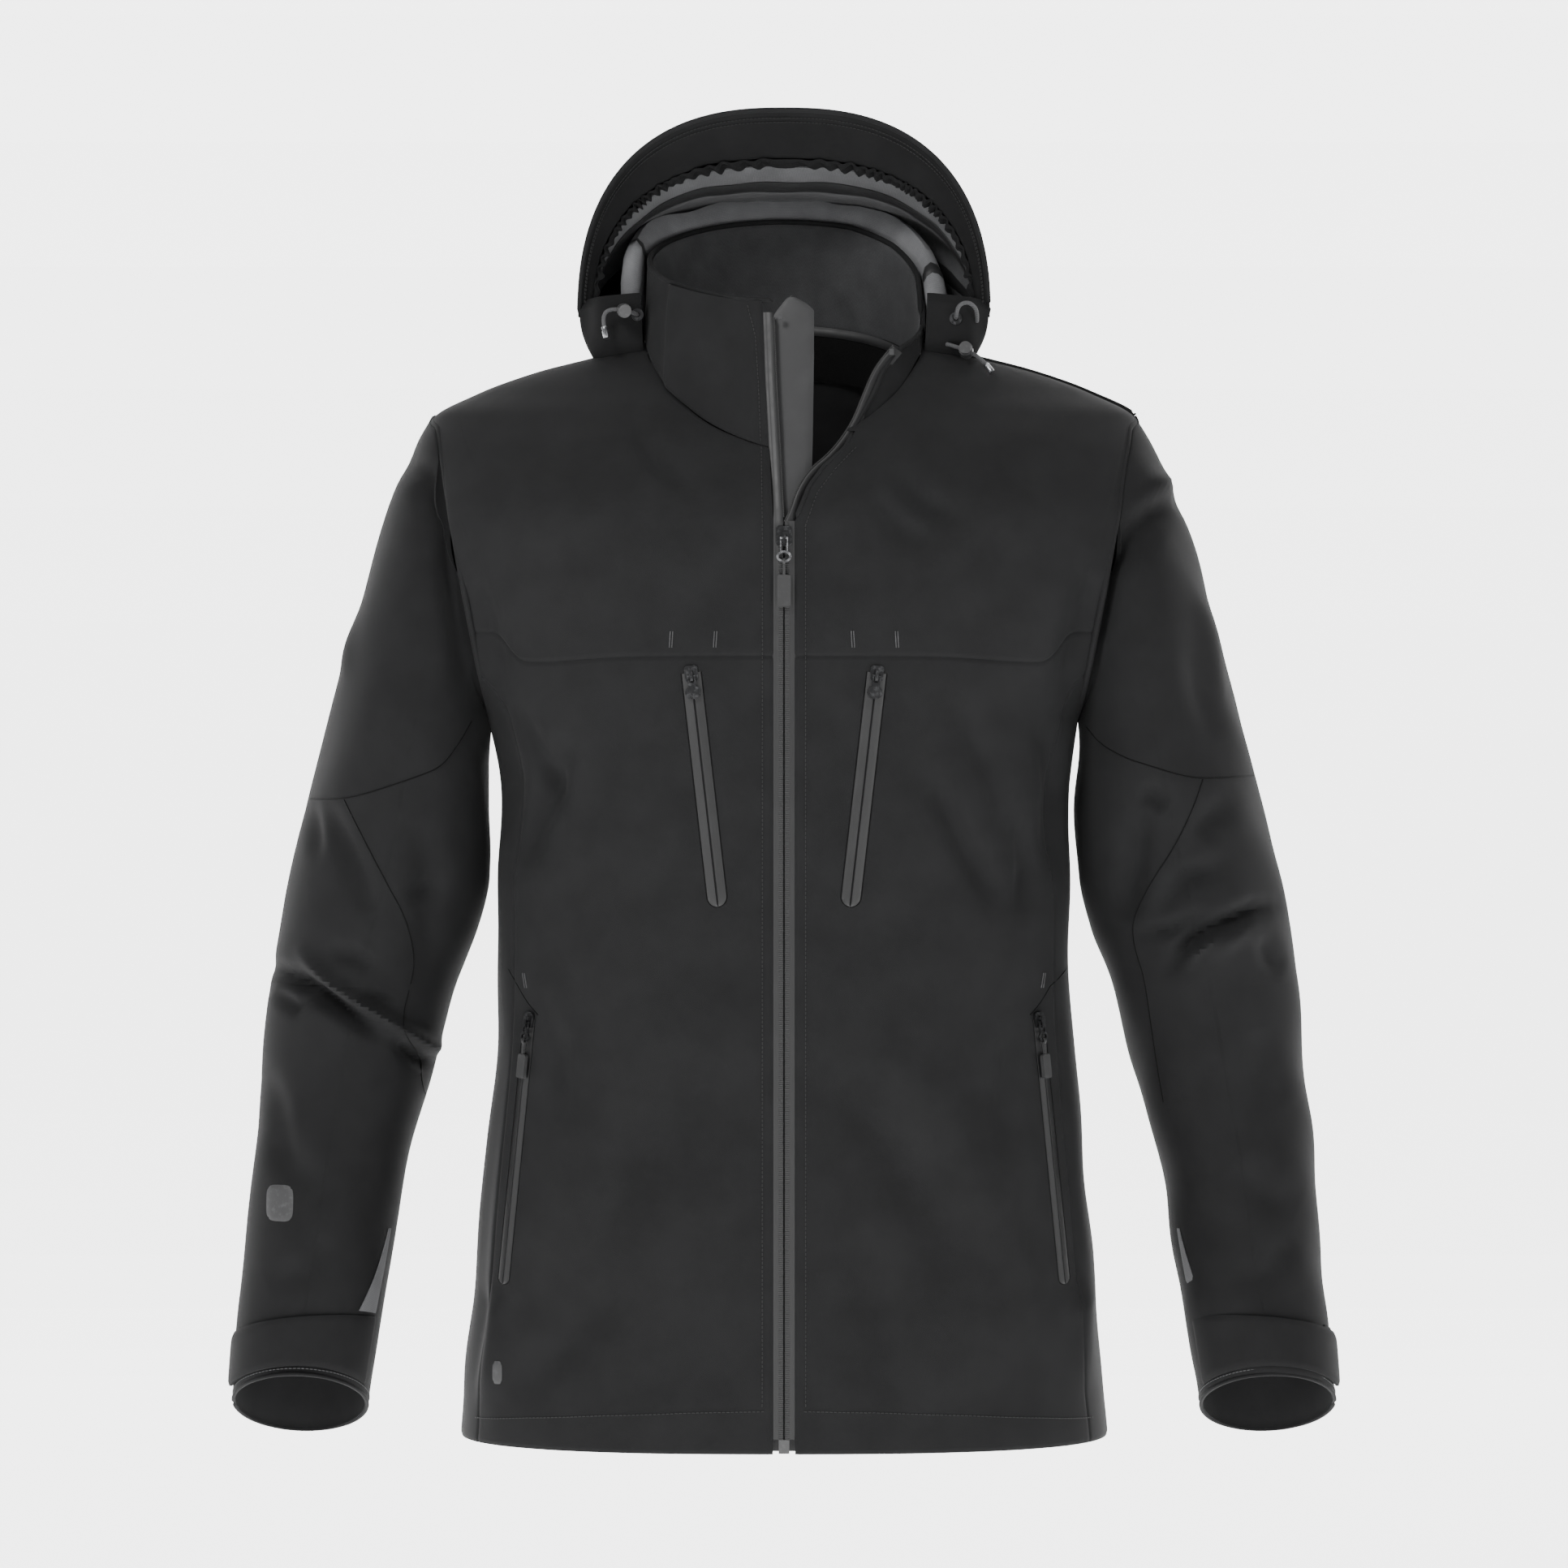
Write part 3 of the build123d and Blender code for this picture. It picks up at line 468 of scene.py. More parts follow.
@lru_cache(maxsize=200000)
def smooth_row(table, key):
    """A row of a table at a key, on a smooth curve through all its rows that never overshoots."""
    keys = [row[0] for row in table]
    key = min(max(key, keys[0]), keys[-1])
    i = min(max(bisect.bisect_right(keys, key) - 1, 0), len(keys) - 2)
    span = keys[i + 1] - keys[i]
    t = (key - keys[i]) / span
    row = [key]
    for k in range(1, len(table[0])):
        low, high = table[i][k], table[i + 1][k]
        slope = (high - low) / span
        before = after = slope
        if i > 0:
            before = (low - table[i - 1][k]) / (keys[i] - keys[i - 1])
        if i + 2 < len(keys):
            after = (table[i + 2][k] - high) / (keys[i + 2] - keys[i + 1])
        leave = 0.0 if before * slope <= 0 else 2 / (1 / before + 1 / slope)
        arrive = 0.0 if after * slope <= 0 else 2 / (1 / after + 1 / slope)
        row.append(low * (1 + 2 * t) * (1 - t) ** 2 + high * (3 - 2 * t) * t * t
                   + span * (leave * t * (1 - t) ** 2 - arrive * (1 - t) * t * t))
    return row


def rows_of(table):
    return tuple(tuple(float(v) for v in row) for row in table)


TORSO, HOOD, BRIM, HOOD_LINING = map(rows_of, (TORSO, HOOD, BRIM, HOOD_LINING))
FRONT_LINE, OPEN_EDGE, COLLAR_EDGE = map(rows_of, (FRONT_LINE, OPEN_EDGE, COLLAR_EDGE))
SLEEVE = tuple((float(n), *map(float, row)) for n, row in enumerate(SLEEVE))


def line_at(table, key):
    """The second column of a table at a key, along straight lines."""
    for low, high in zip(table, table[1:]):
        if key <= high[0] or high is table[-1]:
            t = min(max((key - low[0]) / (high[0] - low[0]), 0), 1)
            return lerp(low[1], high[1], t)
    return table[0][1]


def torso(angle, z, inset=0.0):
    """A point of the body: angle from the front centre towards the wearer's left."""
    _, half, front, back, round_front, round_back = smooth_row(TORSO, round(z, 3))
    s, c = sin(radians(angle)), cos(radians(angle))
    depth, power = (front, round_front) if c >= 0 else (back, round_back)
    x = (half - inset) * abs(s) ** (2 / power) * (1 if s >= 0 else -1)
    y = SIDE_Y - (depth - inset) * abs(c) ** (2 / power) * (1 if c >= 0 else -1)
    return (x, y, z)


def angle_at(x, z, behind=False):
    row = smooth_row(TORSO, round(z, 3))
    angle = degrees(asin(min(1.0, abs(x) / row[1]) ** (row[5 if behind else 4] / 2)))
    return 180 - angle if behind else angle


def armhole(turn):
    """Angle and height on the body round the armhole: 0 at the top, 90 behind, 270 in front."""
    z = -159.5 + 102.5 * cos(radians(turn))
    (xt, zt), (xl, zl) = ARMHOLE_TOP, ARMHOLE_LOW
    x = lerp(xl, xt, (z - zl) / (zt - zl))
    if round(turn, 6) % 180 == 0:
        return (90.0, z)
    angle = angle_at(x, z, behind=sin(radians(turn)) > 0)
    return (lerp(angle, 90.0, ramp(cos(radians(turn)), 0.9, 1.0)), z)


def sleeve(t, angle, inset=0.0):
    """A point of the left sleeve: 0 outer edge, 90 back, 180 inner edge, 270 front."""
    _, xo, zo, xi, zi, y, depth, hang = smooth_row(SLEEVE, round(t, 4))
    half = hypot(xo - xi, zo - zi) / 2
    ux, uz = (xo - xi) / (2 * half), (zo - zi) / (2 * half)
    a, b = (half - inset) * cos(radians(angle)), (depth - inset) * sin(radians(angle))
    point = Vector(((xo + xi) / 2 + a * ux, y + b, (zo + zi) / 2 + a * uz - b * hang))
    if t < 1.6:
        hole = Vector(torso(*armhole(round(angle % 360, 3))))
        point = hole.lerp(point, ramp(t, 0, 1.6))
    return tuple(point)


def collar(angle, t, inset=0.0):
    """A point of the collar: angle round the neck from the front, t from foot to rim."""
    yf, zf, yb, zb, half = [lerp(p, q, t) for p, q in zip(COLLAR_FOOT, COLLAR_RIM)]
    middle, depth = (yf + yb) / 2, (yb - yf) / 2 - inset
    x = (half - inset) * sin(radians(angle))
    y = middle - depth * cos(radians(angle))
    return (x, y, lerp(zf, zb, (y - yf) / (yb - yf)))


@lru_cache(maxsize=20000)
def neck_seam(angle):
    """How far up the collar its seam with the body is."""
    low, high = -0.4, 0.6
    for _ in range(30):
        t = (low + high) / 2
        x, y, z = collar(angle, t)
        _, half, front, back, pf, pb = smooth_row(TORSO, round(min(z, -6.0), 3))
        depth, power = (front, pf) if y < SIDE_Y else (back, pb)
        outside = (abs(x) / half) ** power + (abs(y - SIDE_Y) / depth) ** power > 1 or z > -6
        low, high = (low, t) if outside else (t, high)
    return low


def neck_point(angle):
    """The neck seam as an angle and height on the body."""
    x, y, z = collar(angle, neck_seam(round(angle, 3)))
    return (angle_at(x, z, behind=y > SIDE_Y), z)


def hood(turn, across, half, reach):
    """A point of the hood's arch: turn back from upright, across from left to right."""
    s, c = sin(radians(across)), cos(radians(across))
    edge = ramp(min(across, 180 - across), 0, 32)
    width = half
    if turn > 16 and half > 119:
        outer = half > smooth_row(HOOD, round(turn, 3))[1] - 0.5
        width = lerp(137.0 if outer else 132.5, half, edge)
    x = width * abs(c) ** (2 / ARCH) * (1 if c >= 0 else -1)
    r = reach * abs(s) ** (2 / ARCH)
    return (x, HOOD_Y + r * sin(radians(turn)), HOOD_Z + r * cos(radians(turn)))


def between(low, high, count):
    return [lerp(low, high, i / count) for i in range(count + 1)]


def sided(points, sign):
    """Points made for the wearer's left, or with sign -1 their mirror images."""
    return [(sign * x, y, z) for x, y, z in points]


# ---------------------------------------------------------------- cloth from rows of points
def steps(length, size=3.0, fine=(0.7, 1.8)):
    """Places 0 to 1 along an edge of a length, closer together beside both ends."""
    count = max(3, round(length / size))
    places = {i / count for i in range(count + 1)}
    for gap in fine:
        places |= {gap / length, 1 - gap / length}
    return sorted(places)


def unit_rows(vectors):
    length = np.linalg.norm(vectors, axis=-1, keepdims=True)
    return vectors / np.maximum(length, 1e-9)


def soft(points, seed, size=90.0, height=0.8):
    """Slow rolls of loose cloth, the same each time."""
    rng = np.random.default_rng(seed)
    total = np.zeros(points.shape[:-1])
    for k in range(7):
        way = rng.normal(size=3)
        way *= 2 * pi / (size * rng.uniform(0.55, 1.6)) / np.linalg.norm(way)
        total += np.sin(points @ way + rng.uniform(0, 2 * pi)) * rng.uniform(0.5, 1)
    return total * height / 3.5


def creases(points, lines):
    """Height of folds seen from the front: a line of (x, z), its height and its half width."""
    x, z = points[..., 0], points[..., 2]
    total = np.zeros(x.shape)
    for line, height, width in lines:
        spans = [hypot(b[0] - a[0], b[1] - a[1]) for a, b in zip(line, line[1:])]
        whole, run = sum(spans), 0.0
        near, along = np.full(x.shape, 1e9), np.zeros(x.shape)
        for (ax, az), (bx, bz), span in zip(line, line[1:], spans):
            t = np.clip(((x - ax) * (bx - ax) + (z - az) * (bz - az)) / span ** 2, 0, 1)
            gap = np.hypot(x - ax - t * (bx - ax), z - az - t * (bz - az))
            closer = gap < near
            along = np.where(closer, (run + t * span) / whole, along)
            near = np.minimum(near, gap)
            run += span
        fade = np.sin(np.clip(along, 0.0, 1.0) * pi * 0.94 + 0.09) ** 0.7
        total += height * np.exp(-(near / width) ** 2) * fade
    return total


def cloth(name, rows, material, thick=1.4, away=(0, SIDE_Y, None), relief=None, loop=False,
          turned=(1, 1, 1, 1), drop=0.8, lift=0.0, slot="shell_fabric", flip=False):
    """A walled panel through rows of points. away is a point or upright line inside it, turned
    says which of its first, last, low and high edges are rounded over, and relief gives its
    height from points and normals."""
    points = np.array(rows, float)
    if loop:
        wide = np.concatenate([points[:, -1:], points, points[:, :1]], axis=1)
        across = np.gradient(wide, axis=1)[:, 1:-1]
    else:
        across = np.gradient(points, axis=1)
    normal = unit_rows(np.cross(across, np.gradient(points, axis=0)))
    if away is None:
        inside = points.mean(axis=(0, 1))
        reach = points - inside
    else:
        inside = np.array([points[..., i].mean() if a is None else a for i, a in enumerate(away)])
        reach = points - inside
        for i, a in enumerate(away):
            if a is None:
                reach[..., i] = 0
    outward = 1 if (normal * reach).sum() > 0 else -1
    if flip:
        outward = -outward
    normal = normal * outward

    def run(axis):
        gaps = np.linalg.norm(np.diff(points, axis=axis), axis=-1)
        start = np.zeros_like(gaps.take([0], axis=axis))
        return np.concatenate([start, np.cumsum(gaps, axis=axis)], axis=axis)

    along_u, along_v = run(1), run(0)
    height = np.full(points.shape[:2], float(lift))
    if relief is not None:
        height = height + relief(points, normal)
    edges = (along_u, along_u[:, -1:] - along_u, along_v, along_v[-1:] - along_v)
    for far, wanted in zip(edges, turned):
        if wanted:
            height = height - drop * np.exp(-(far / 1.3) ** 2)
    outer = (points + normal * height[..., None]) * MM
    inner = (points + normal * (height - thick)[..., None]) * MM
    high, wide = points.shape[:2]
    index = np.arange(high * wide).reshape(high, wide)
    nxt = np.roll(index, -1, axis=1) if loop else index[:, 1:]
    here = index if loop else index[:, :-1]
    quads = np.stack([here[:-1], nxt[:-1], nxt[1:], here[1:]], axis=-1).reshape(-1, 4)
    if outward < 0:
        quads = quads[:, ::-1]
    count = high * wide
    faces = [quads, quads[:, ::-1] + count]
    borders = [index[0], index[-1][::-1]]
    if loop:
        borders = [np.append(b, b[0]) for b in borders]
    else:
        borders += [index[:, -1], index[::-1, 0]]
    for border in borders:
        wall = np.stack([border[1:], border[:-1], border[:-1] + count, border[1:] + count], -1)
        faces.append(wall if outward > 0 else wall[:, ::-1])
    faces = np.concatenate(faces)
    data = bpy.data.meshes.new(name)
    data.from_pydata(np.concatenate([outer.reshape(-1, 3), inner.reshape(-1, 3)]).tolist(), [],
                     faces.tolist())
    flat = np.stack([along_u.reshape(-1), along_v.reshape(-1)], -1) * MM
    flat = np.concatenate([flat, flat])
    layer = data.uv_layers.new(name="cloth")
    corners = np.empty(len(data.loops), int)
    data.loops.foreach_get("vertex_index", corners)
    layer.data.foreach_set("uv", flat[corners].astype(np.float32).reshape(-1))
    data.materials.append(material)
    data.polygons.foreach_set("use_smooth", [True] * len(data.polygons))
    data.set_sharp_from_angle(angle=radians(50))
    piece = new_object(name, data)
    return piece


def coons(low, high, first, last):
    """A point between four edge curves, each a function of 0 to 1."""
    corners = [low(0), low(1), high(0), high(1)]

    def at(u, v):
        b, t, l, r = low(u), high(u), first(v), last(v)
        return tuple(
            (1 - v) * b[k] + v * t[k] + (1 - u) * l[k] + u * r[k]
            - ((1 - u) * (1 - v) * corners[0][k] + u * (1 - v) * corners[1][k]
               + (1 - u) * v * corners[2][k] + u * v * corners[3][k])
            for k in range(2))
    return at


def patch_rows(patch, surface, wide, tall, size=3.0, side=1):
    rows = []
    for v in steps(tall, size):
        rows.append(sided((surface(*patch(u, v)) for u in steps(wide, size)), side))
    return rows


# ---------------------------------------------------------------- folds of the worn shape
TORSO_FOLDS = [
    ([(-142, -272), (-160, -320), (-176, -360)], -2.4, 9),
    ([(-175, -256), (-160, -290), (-148, -318)], -1.8, 7),
    ([(-190, -250), (-182, -300), (-184, -350)], -2.0, 8),
    ([(98, -305), (118, -345), (141, -382)], -2.0, 8),
    ([(118, -256), (138, -300), (150, -345)], -1.4, 9),
    ([(158, -328), (162, -360), (157, -392)], -2.0, 7),
    ([(172, -262), (180, -310), (178, -360)], -2.0, 8),
    ([(186, -470), (196, -590), (203, -700)], 1.8, 7),
    ([(-170, -470), (-186, -570), (-198, -716)], 1.6, 8),
    ([(-184, -480), (-198, -600), (-207, -716)], -1.4, 6),
    ([(-49, -480), (-98, -560), (-150, -640)], -2.0, 20),
    ([(-20, -520), (-60, -590), (-110, -690)], 1.2, 22),
    ([(38, -495), (80, -560), (122, -625)], -1.9, 19),
    ([(60, -470), (120, -540), (158, -640)], 1.2, 18),
    ([(-100, -630), (-140, -670), (-180, -712)], -1.4, 15),
    ([(40, -600), (60, -650), (70, -712)], -1.2, 16),
    ([(-150, -400), (-130, -460), (-120, -540)], -1.2, 16),
    ([(140, -420), (125, -480), (130, -560)], -1.2, 14),
    ([(-163, -448), (-150, -480), (-146, -530)], -1.4, 8),
    ([(160, -448), (148, -485), (146, -540)], -1.4, 8),
    ([(-205, -170), (-196, -210), (-188, -250)], -2.0, 10),
    ([(205, -165), (196, -210), (188, -250)], -2.2, 10),
    ([(70, -96), (92, -118), (118, -132)], -1.8, 9),
    ([(58, -112), (74, -134), (92, -150)], -1.2, 8),
    ([(-100, -62), (-84, -92), (-60, -112)], -1.4, 7),
]
SLEEVE_FOLDS = {
    "right": [
        ([(-258, -84), (-240, -97), (-228, -125), (-221, -165), (-212, -205), (-206, -248)], -5, 10),
        ([(-292, -185), (-295, -233)], 1.2, 5),
        ([(-319, -320), (-316, -336), (-312, -354)], -1.8, 6),
        ([(-306, -322), (-285, -362), (-275, -392)], -2.4, 7),
        ([(-252, -384), (-240, -378), (-226, -370)], -1.8, 7),
        ([(-303, -418), (-290, -420), (-274, -428)], -2.2, 6),
        ([(-346, -430), (-324, -439), (-305, -449), (-285, -462), (-272, -472)], -6, 6),
        ([(-323, -420), (-301, -441), (-282, -453), (-256, -470), (-228, -490)], 4, 5),
        ([(-258, -479), (-246, -490), (-232, -502)], -3.5, 5),
        ([(-284, -446), (-272, -450), (-260, -455)], -2.2, 4),
        ([(-344, -446), (-329, -455), (-316, -449)], -2.2, 5),
        ([(-240, -330), (-236, -380), (-238, -430)], -2.0, 11),
        ([(-345, -540), (-330, -560), (-312, -572)], -1.4, 10),
        ([(-300, -610), (-320, -630), (-345, -640)], -1.4, 10),
        ([(-352, -500), (-340, -520), (-330, -560)], -1.4, 9),
    ],
    "left": [
        ([(262, -117), (246, -126), (230, -142), (214, -161), (209, -178), (203, -210),
          (199, -245)], -6, 10),
        ([(266, -100), (246, -108), (230, -122)], 2.2, 9),
        ([(279, -182), (295, -245)], 1.4, 6),
        ([(272, -214), (280, -245), (289, -274)], -1.8, 10),
        ([(236, -312), (246, -314), (254, -322)], -2.4, 6),
        ([(238, -322), (233, -362), (226, -398)], -3.0, 9),
        ([(278, -342), (284, -330), (297, -318)], -1.8, 8),
        ([(250, -390), (269, -368), (290, -360)], -2.6, 7),
        ([(235, -407), (256, -403), (281, -393)], -2.2, 5),
        ([(257, -429), (272, -410), (295, -398), (315, -389), (330, -388)], -4, 5.5),
        ([(268, -425), (280, -412), (293, -400)], 3, 4),
        ([(281, -421), (296, -410), (310, -402)], 1.8, 7),
        ([(320, -408), (329, -424), (338, -430)], -2.0, 8),
        ([(336, -520), (322, -500), (318, -470)], -1.6, 11),
        ([(300, -560), (320, -580), (345, -590)], -1.4, 11),
        ([(340, -610), (322, -630), (300, -640)], -1.4, 10),
    ],
}


def front_only(normal):
    return np.clip(-normal[..., 1] * 2.5 + 0.4, 0, 1)


POCKETS = {"chest": ((61, -233), (44, -380)), "hand": ((169, -462), (186, -634))}


def off_pockets(x, z):
    """0 along the pocket zips, whose sliders run straight, and 1 away from them."""
    free = np.ones(x.shape)
    for (ax, az), (bx, bz) in POCKETS.values():
        along = ((x - ax) * (bx - ax) + (z - az) * (bz - az)) / ((bx - ax) ** 2 + (bz - az) ** 2)
        along = np.clip(along, 0, 1)
        gap = np.hypot(x - ax - along * (bx - ax), z - az - along * (bz - az))
        free *= np.clip((gap - 8) / 16, 0, 1)
    return free


def torso_relief(points, normal):
    """Folds and rolls of the body, still beside the main zip, the pockets and the neck."""
    x, z = np.abs(points[..., 0]), points[..., 2]
    calm = np.clip((x - 9) / 30, 0, 1) * np.clip((-z - 30) / 60, 0.15, 1)
    calm = calm * np.clip((z - HEM_Z) / 40, 0.25, 1)
    side = 1 + 0.6 * np.clip(normal[..., 1] * 2, 0, 1)
    folds = creases(points, TORSO_FOLDS) * front_only(normal)
    beside = np.clip((x - 16) / 24, 0, 1)
    height = soft(points, 4, 120, 2.2) * side * calm + folds * 3.8 * beside
    return height * np.where(normal[..., 1] < 0, off_pockets(x, z), 1.0)


def sleeve_relief(side):
    def relief(points, normal):
        folds = creases(points, SLEEVE_FOLDS[side])
        z = points[..., 2]
        behind = np.clip(normal[..., 1], 0, 1)
        bunch = np.exp(-((z + 420) / 60) ** 2)
        waves = np.sin(z * 0.16 + points[..., 0] * 0.05 + 1.3 * np.sin(points[..., 1] * 0.05))
        seed = 11 if side == "left" else 12
        rolls = soft(points, seed, 90, 2.0)
        calm = np.clip((z + 722) / 25, 0.3, 1)
        return (folds * 2.6 * front_only(normal) + waves * bunch * behind * 1.6 + rolls) * calm
    return relief


# ---------------------------------------------------------------- body panels
def yoke_seam(x):
    return -222 - 3.5 * np.exp(-((x - 165) / 42) ** 2) + 15 * ramp(x, 172, 210)


YOKE_TURN = 243.0                       # where the yoke seam meets the front of the armhole
SEAM_TURN = 225.2                       # where the side panel's front seam meets it


def yoke_low(side_turn=YOKE_TURN):
    """The yoke seam from the zip to the armhole, on the body."""
    end_angle, end_z = armhole(side_turn)
    end_x = torso(end_angle, end_z)[0]

    def at(u):
        x = lerp(ZIP_HALF, end_x, u)
        z = lerp(float(yoke_seam(x)), end_z, ramp(u, 0.8, 1))
        return (angle_at(x, z), z)
    return at


def armhole_run(start, stop):
    return lambda v: armhole(lerp(start, stop, v))


def split(first, second, where):
    """One edge curve after another."""
    return lambda v: first(v / where) if v <= where else second((v - where) / (1 - where))


def straight(a, b):
    return lambda v: (lerp(a[0], b[0], v), lerp(a[1], b[1], v))


RIGHT_SHIFT = rows_of([(OPEN_Z, 0.0), (-84, 2.4), (-40, 4.8), (16, 7.0)])


def zip_edge(start, stop):
    def at(v):
        z = lerp(start, stop, v)
        x = max(ZIP_HALF, line_at(OPEN_EDGE, z)) if z > OPEN_Z else ZIP_HALF
        return (angle_at(x, z), z)
    return at


def right_zip_edge(start, stop):
    def at(v):
        z = lerp(start, stop, v)
        return (angle_at(ZIP_HALF + line_at(RIGHT_SHIFT, z), z), z)
    return at


def side_neck():
    """The angle round the collar where its seam crosses the shoulder ridge."""
    low, high = 60.0, 110.0
    for _ in range(20):
        middle = (low + high) / 2
        before = collar(middle, neck_seam(round(middle, 3)))[1] < SIDE_Y
        low, high = (middle, high) if before else (low, middle)
    return low


SIDE_NECK = side_neck()
ZIP_FOOT = degrees(asin((ZIP_HALF + 2.8) / COLLAR_FOOT[4]))


def front_yoke(side):
    foot = OPEN_FOOT if side == "left" else ZIP_FOOT
    top = neck_point(foot)
    low = yoke_low()
    ridge_z = neck_point(SIDE_NECK)[1]
    neck = lambda u: ((90.0, ridge_z) if u > 0.9999
                      else neck_point(round(lerp(foot, SIDE_NECK, u), 3)))
    high = split(neck, straight((90.0, ridge_z), (90.0, SHOULDER_Z)), 0.5)
    edge = (zip_edge if side == "left" else right_zip_edge)(low(0)[1], top[1])
    first = lambda v: top if v > 0.9999 else edge(v)
    return coons(low, high, first, armhole_run(YOKE_TURN, 360))


def front_body():
    low = lambda u: (lerp(angle_at(ZIP_HALF, HEM_Z), FRONT_SEAM, u), HEM_Z)
    high = yoke_low()
    first = right_zip_edge(HEM_Z, high(0)[1])
    seam_angle, seam_z = armhole(SEAM_TURN)
    last = split(straight((FRONT_SEAM, HEM_Z), (seam_angle, seam_z)),
                 armhole_run(SEAM_TURN, YOKE_TURN), 0.955)
    return coons(low, high, first, last)


def side_panel():
    low = lambda u: (lerp(FRONT_SEAM, BACK_SEAM, u), HEM_Z)
    high = armhole_run(SEAM_TURN, 360 - SEAM_TURN)
    a, b = armhole(SEAM_TURN), armhole(360 - SEAM_TURN)
    return coons(low, high, straight((FRONT_SEAM, HEM_Z), a), straight((BACK_SEAM, HEM_Z), b))


BACK_YOKE_TURN = 116.0


def back_body():
    a, b = armhole(360 - SEAM_TURN), armhole(BACK_YOKE_TURN)
    side_edge = split(straight((BACK_SEAM, HEM_Z), a),
                      armhole_run(360 - SEAM_TURN, BACK_YOKE_TURN), 0.94)
    low = lambda u: (lerp(BACK_SEAM, 360 - BACK_SEAM, u), HEM_Z)
    high = lambda u: (lerp(b[0], 360 - b[0], u), b[1])
    other = lambda v: (360 - side_edge(v)[0], side_edge(v)[1])
    return coons(low, high, side_edge, other)


def back_yoke():
    b = armhole(BACK_YOKE_TURN)
    ridge_z = neck_point(SIDE_NECK)[1]
    side_edge = armhole_run(BACK_YOKE_TURN, 0)
    low = lambda u: (lerp(b[0], 360 - b[0], u), b[1])

    def half_top(u):
        """From the left shoulder tip along the ridge and round the neck to the middle."""
        if u <= 0.45:
            return (90.0, lerp(SHOULDER_Z, ridge_z, u / 0.45))
        return neck_point(round(lerp(SIDE_NECK, 180, (u - 0.45) / 0.55), 3))

    def high(u):
        angle, z = half_top(min(u, 1 - u) * 2)
        return (angle if u <= 0.5 else 360 - angle, z)
    other = lambda v: (360 - side_edge(v)[0], side_edge(v)[1])
    return coons(low, high, side_edge, other)


def body_panels():
    made = {}
    for side, sign in (("left", 1), ("right", -1)):
        jobs = ((f"front_panel_{side}", front_body(), 215, 520, f"front_body_{side}"),
                (f"front_yoke_cloth_{side}", front_yoke(side), 235, 190, f"front_yoke_{side}"),
                (f"side_cloth_{side}", side_panel(), 130, 480, f"side_panel_{side}"))
        for name, patch, wide, tall, node in jobs:
            rows = patch_rows(patch, torso, wide, tall, 3.2, sign)
            made[name] = cloth(name, rows, SHELL, relief=torso_relief)
            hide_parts(node)
    for name, patch, wide, tall, node in (
            ("back_cloth", back_body(), 440, 520, "back_body"),
            ("back_yoke_cloth", back_yoke(), 460, 200, "back_yoke")):
        made[name] = cloth(name, patch_rows(patch, torso, wide, tall, 4.0), SHELL,
                           relief=torso_relief)
        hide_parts(node)
    for piece in made.values():
        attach(piece, "torso")
    return made


def armhole_edges():
    """The turned edge of the body round each armhole."""
    for side, sign in (("left", 1), ("right", -1)):
        path = sided((torso(*armhole(turn), 2.0) for turn in between(0, 360, 150)), sign)
        edge = roll(f"armhole_edge_{side}", path, 2.3, SHELL)
        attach(edge, "torso")


PANELS = body_panels()


# ---------------------------------------------------------------- collar
def collar_relief(points, normal):
    x, z = points[..., 0], points[..., 2]
    fold = creases(points, [([(-75, 30), (-78, -5), (-81, -54)], 2.0, 3.0),
                            ([(88, 4), (84, -20), (76, -44), (62, -60)], -2.2, 8),
                            ([(96, 0), (94, -20), (88, -40)], 0.7, 9),
                            ([(52, -58), (58, -70), (70, -78)], -1.2, 5)]) * front_only(normal)
    welt = 1.3 * np.exp(-((x + 17 + np.clip(z, -80, 0) * -0.06) / 4.0) ** 2) * (normal[..., 1] < 0)
    edge = -78 - np.clip(-z, -30, 60) * 0.05
    folded = 5.0 * np.clip((x - edge) / 3.5, 0, 1) * np.clip((-30 - x) / 40, 0, 1)
    folded = folded * (normal[..., 1] < 0) * np.clip((z + 60) / 25, 0, 1)
    return np.maximum(fold + welt + soft(points, 21, 60, 0.5), -0.8) + folded


def collar_rim(angle):
    """Height of the collar's rim round the neck. The open left side droops."""
    table = ((86.0, 0.54), (92.0, 0.72), (98.0, 0.84), (125.0, 0.945), (150.0, 1.0), (270.0, 1.0))
    return 1.0 if angle > 150 else line_at(table, angle)


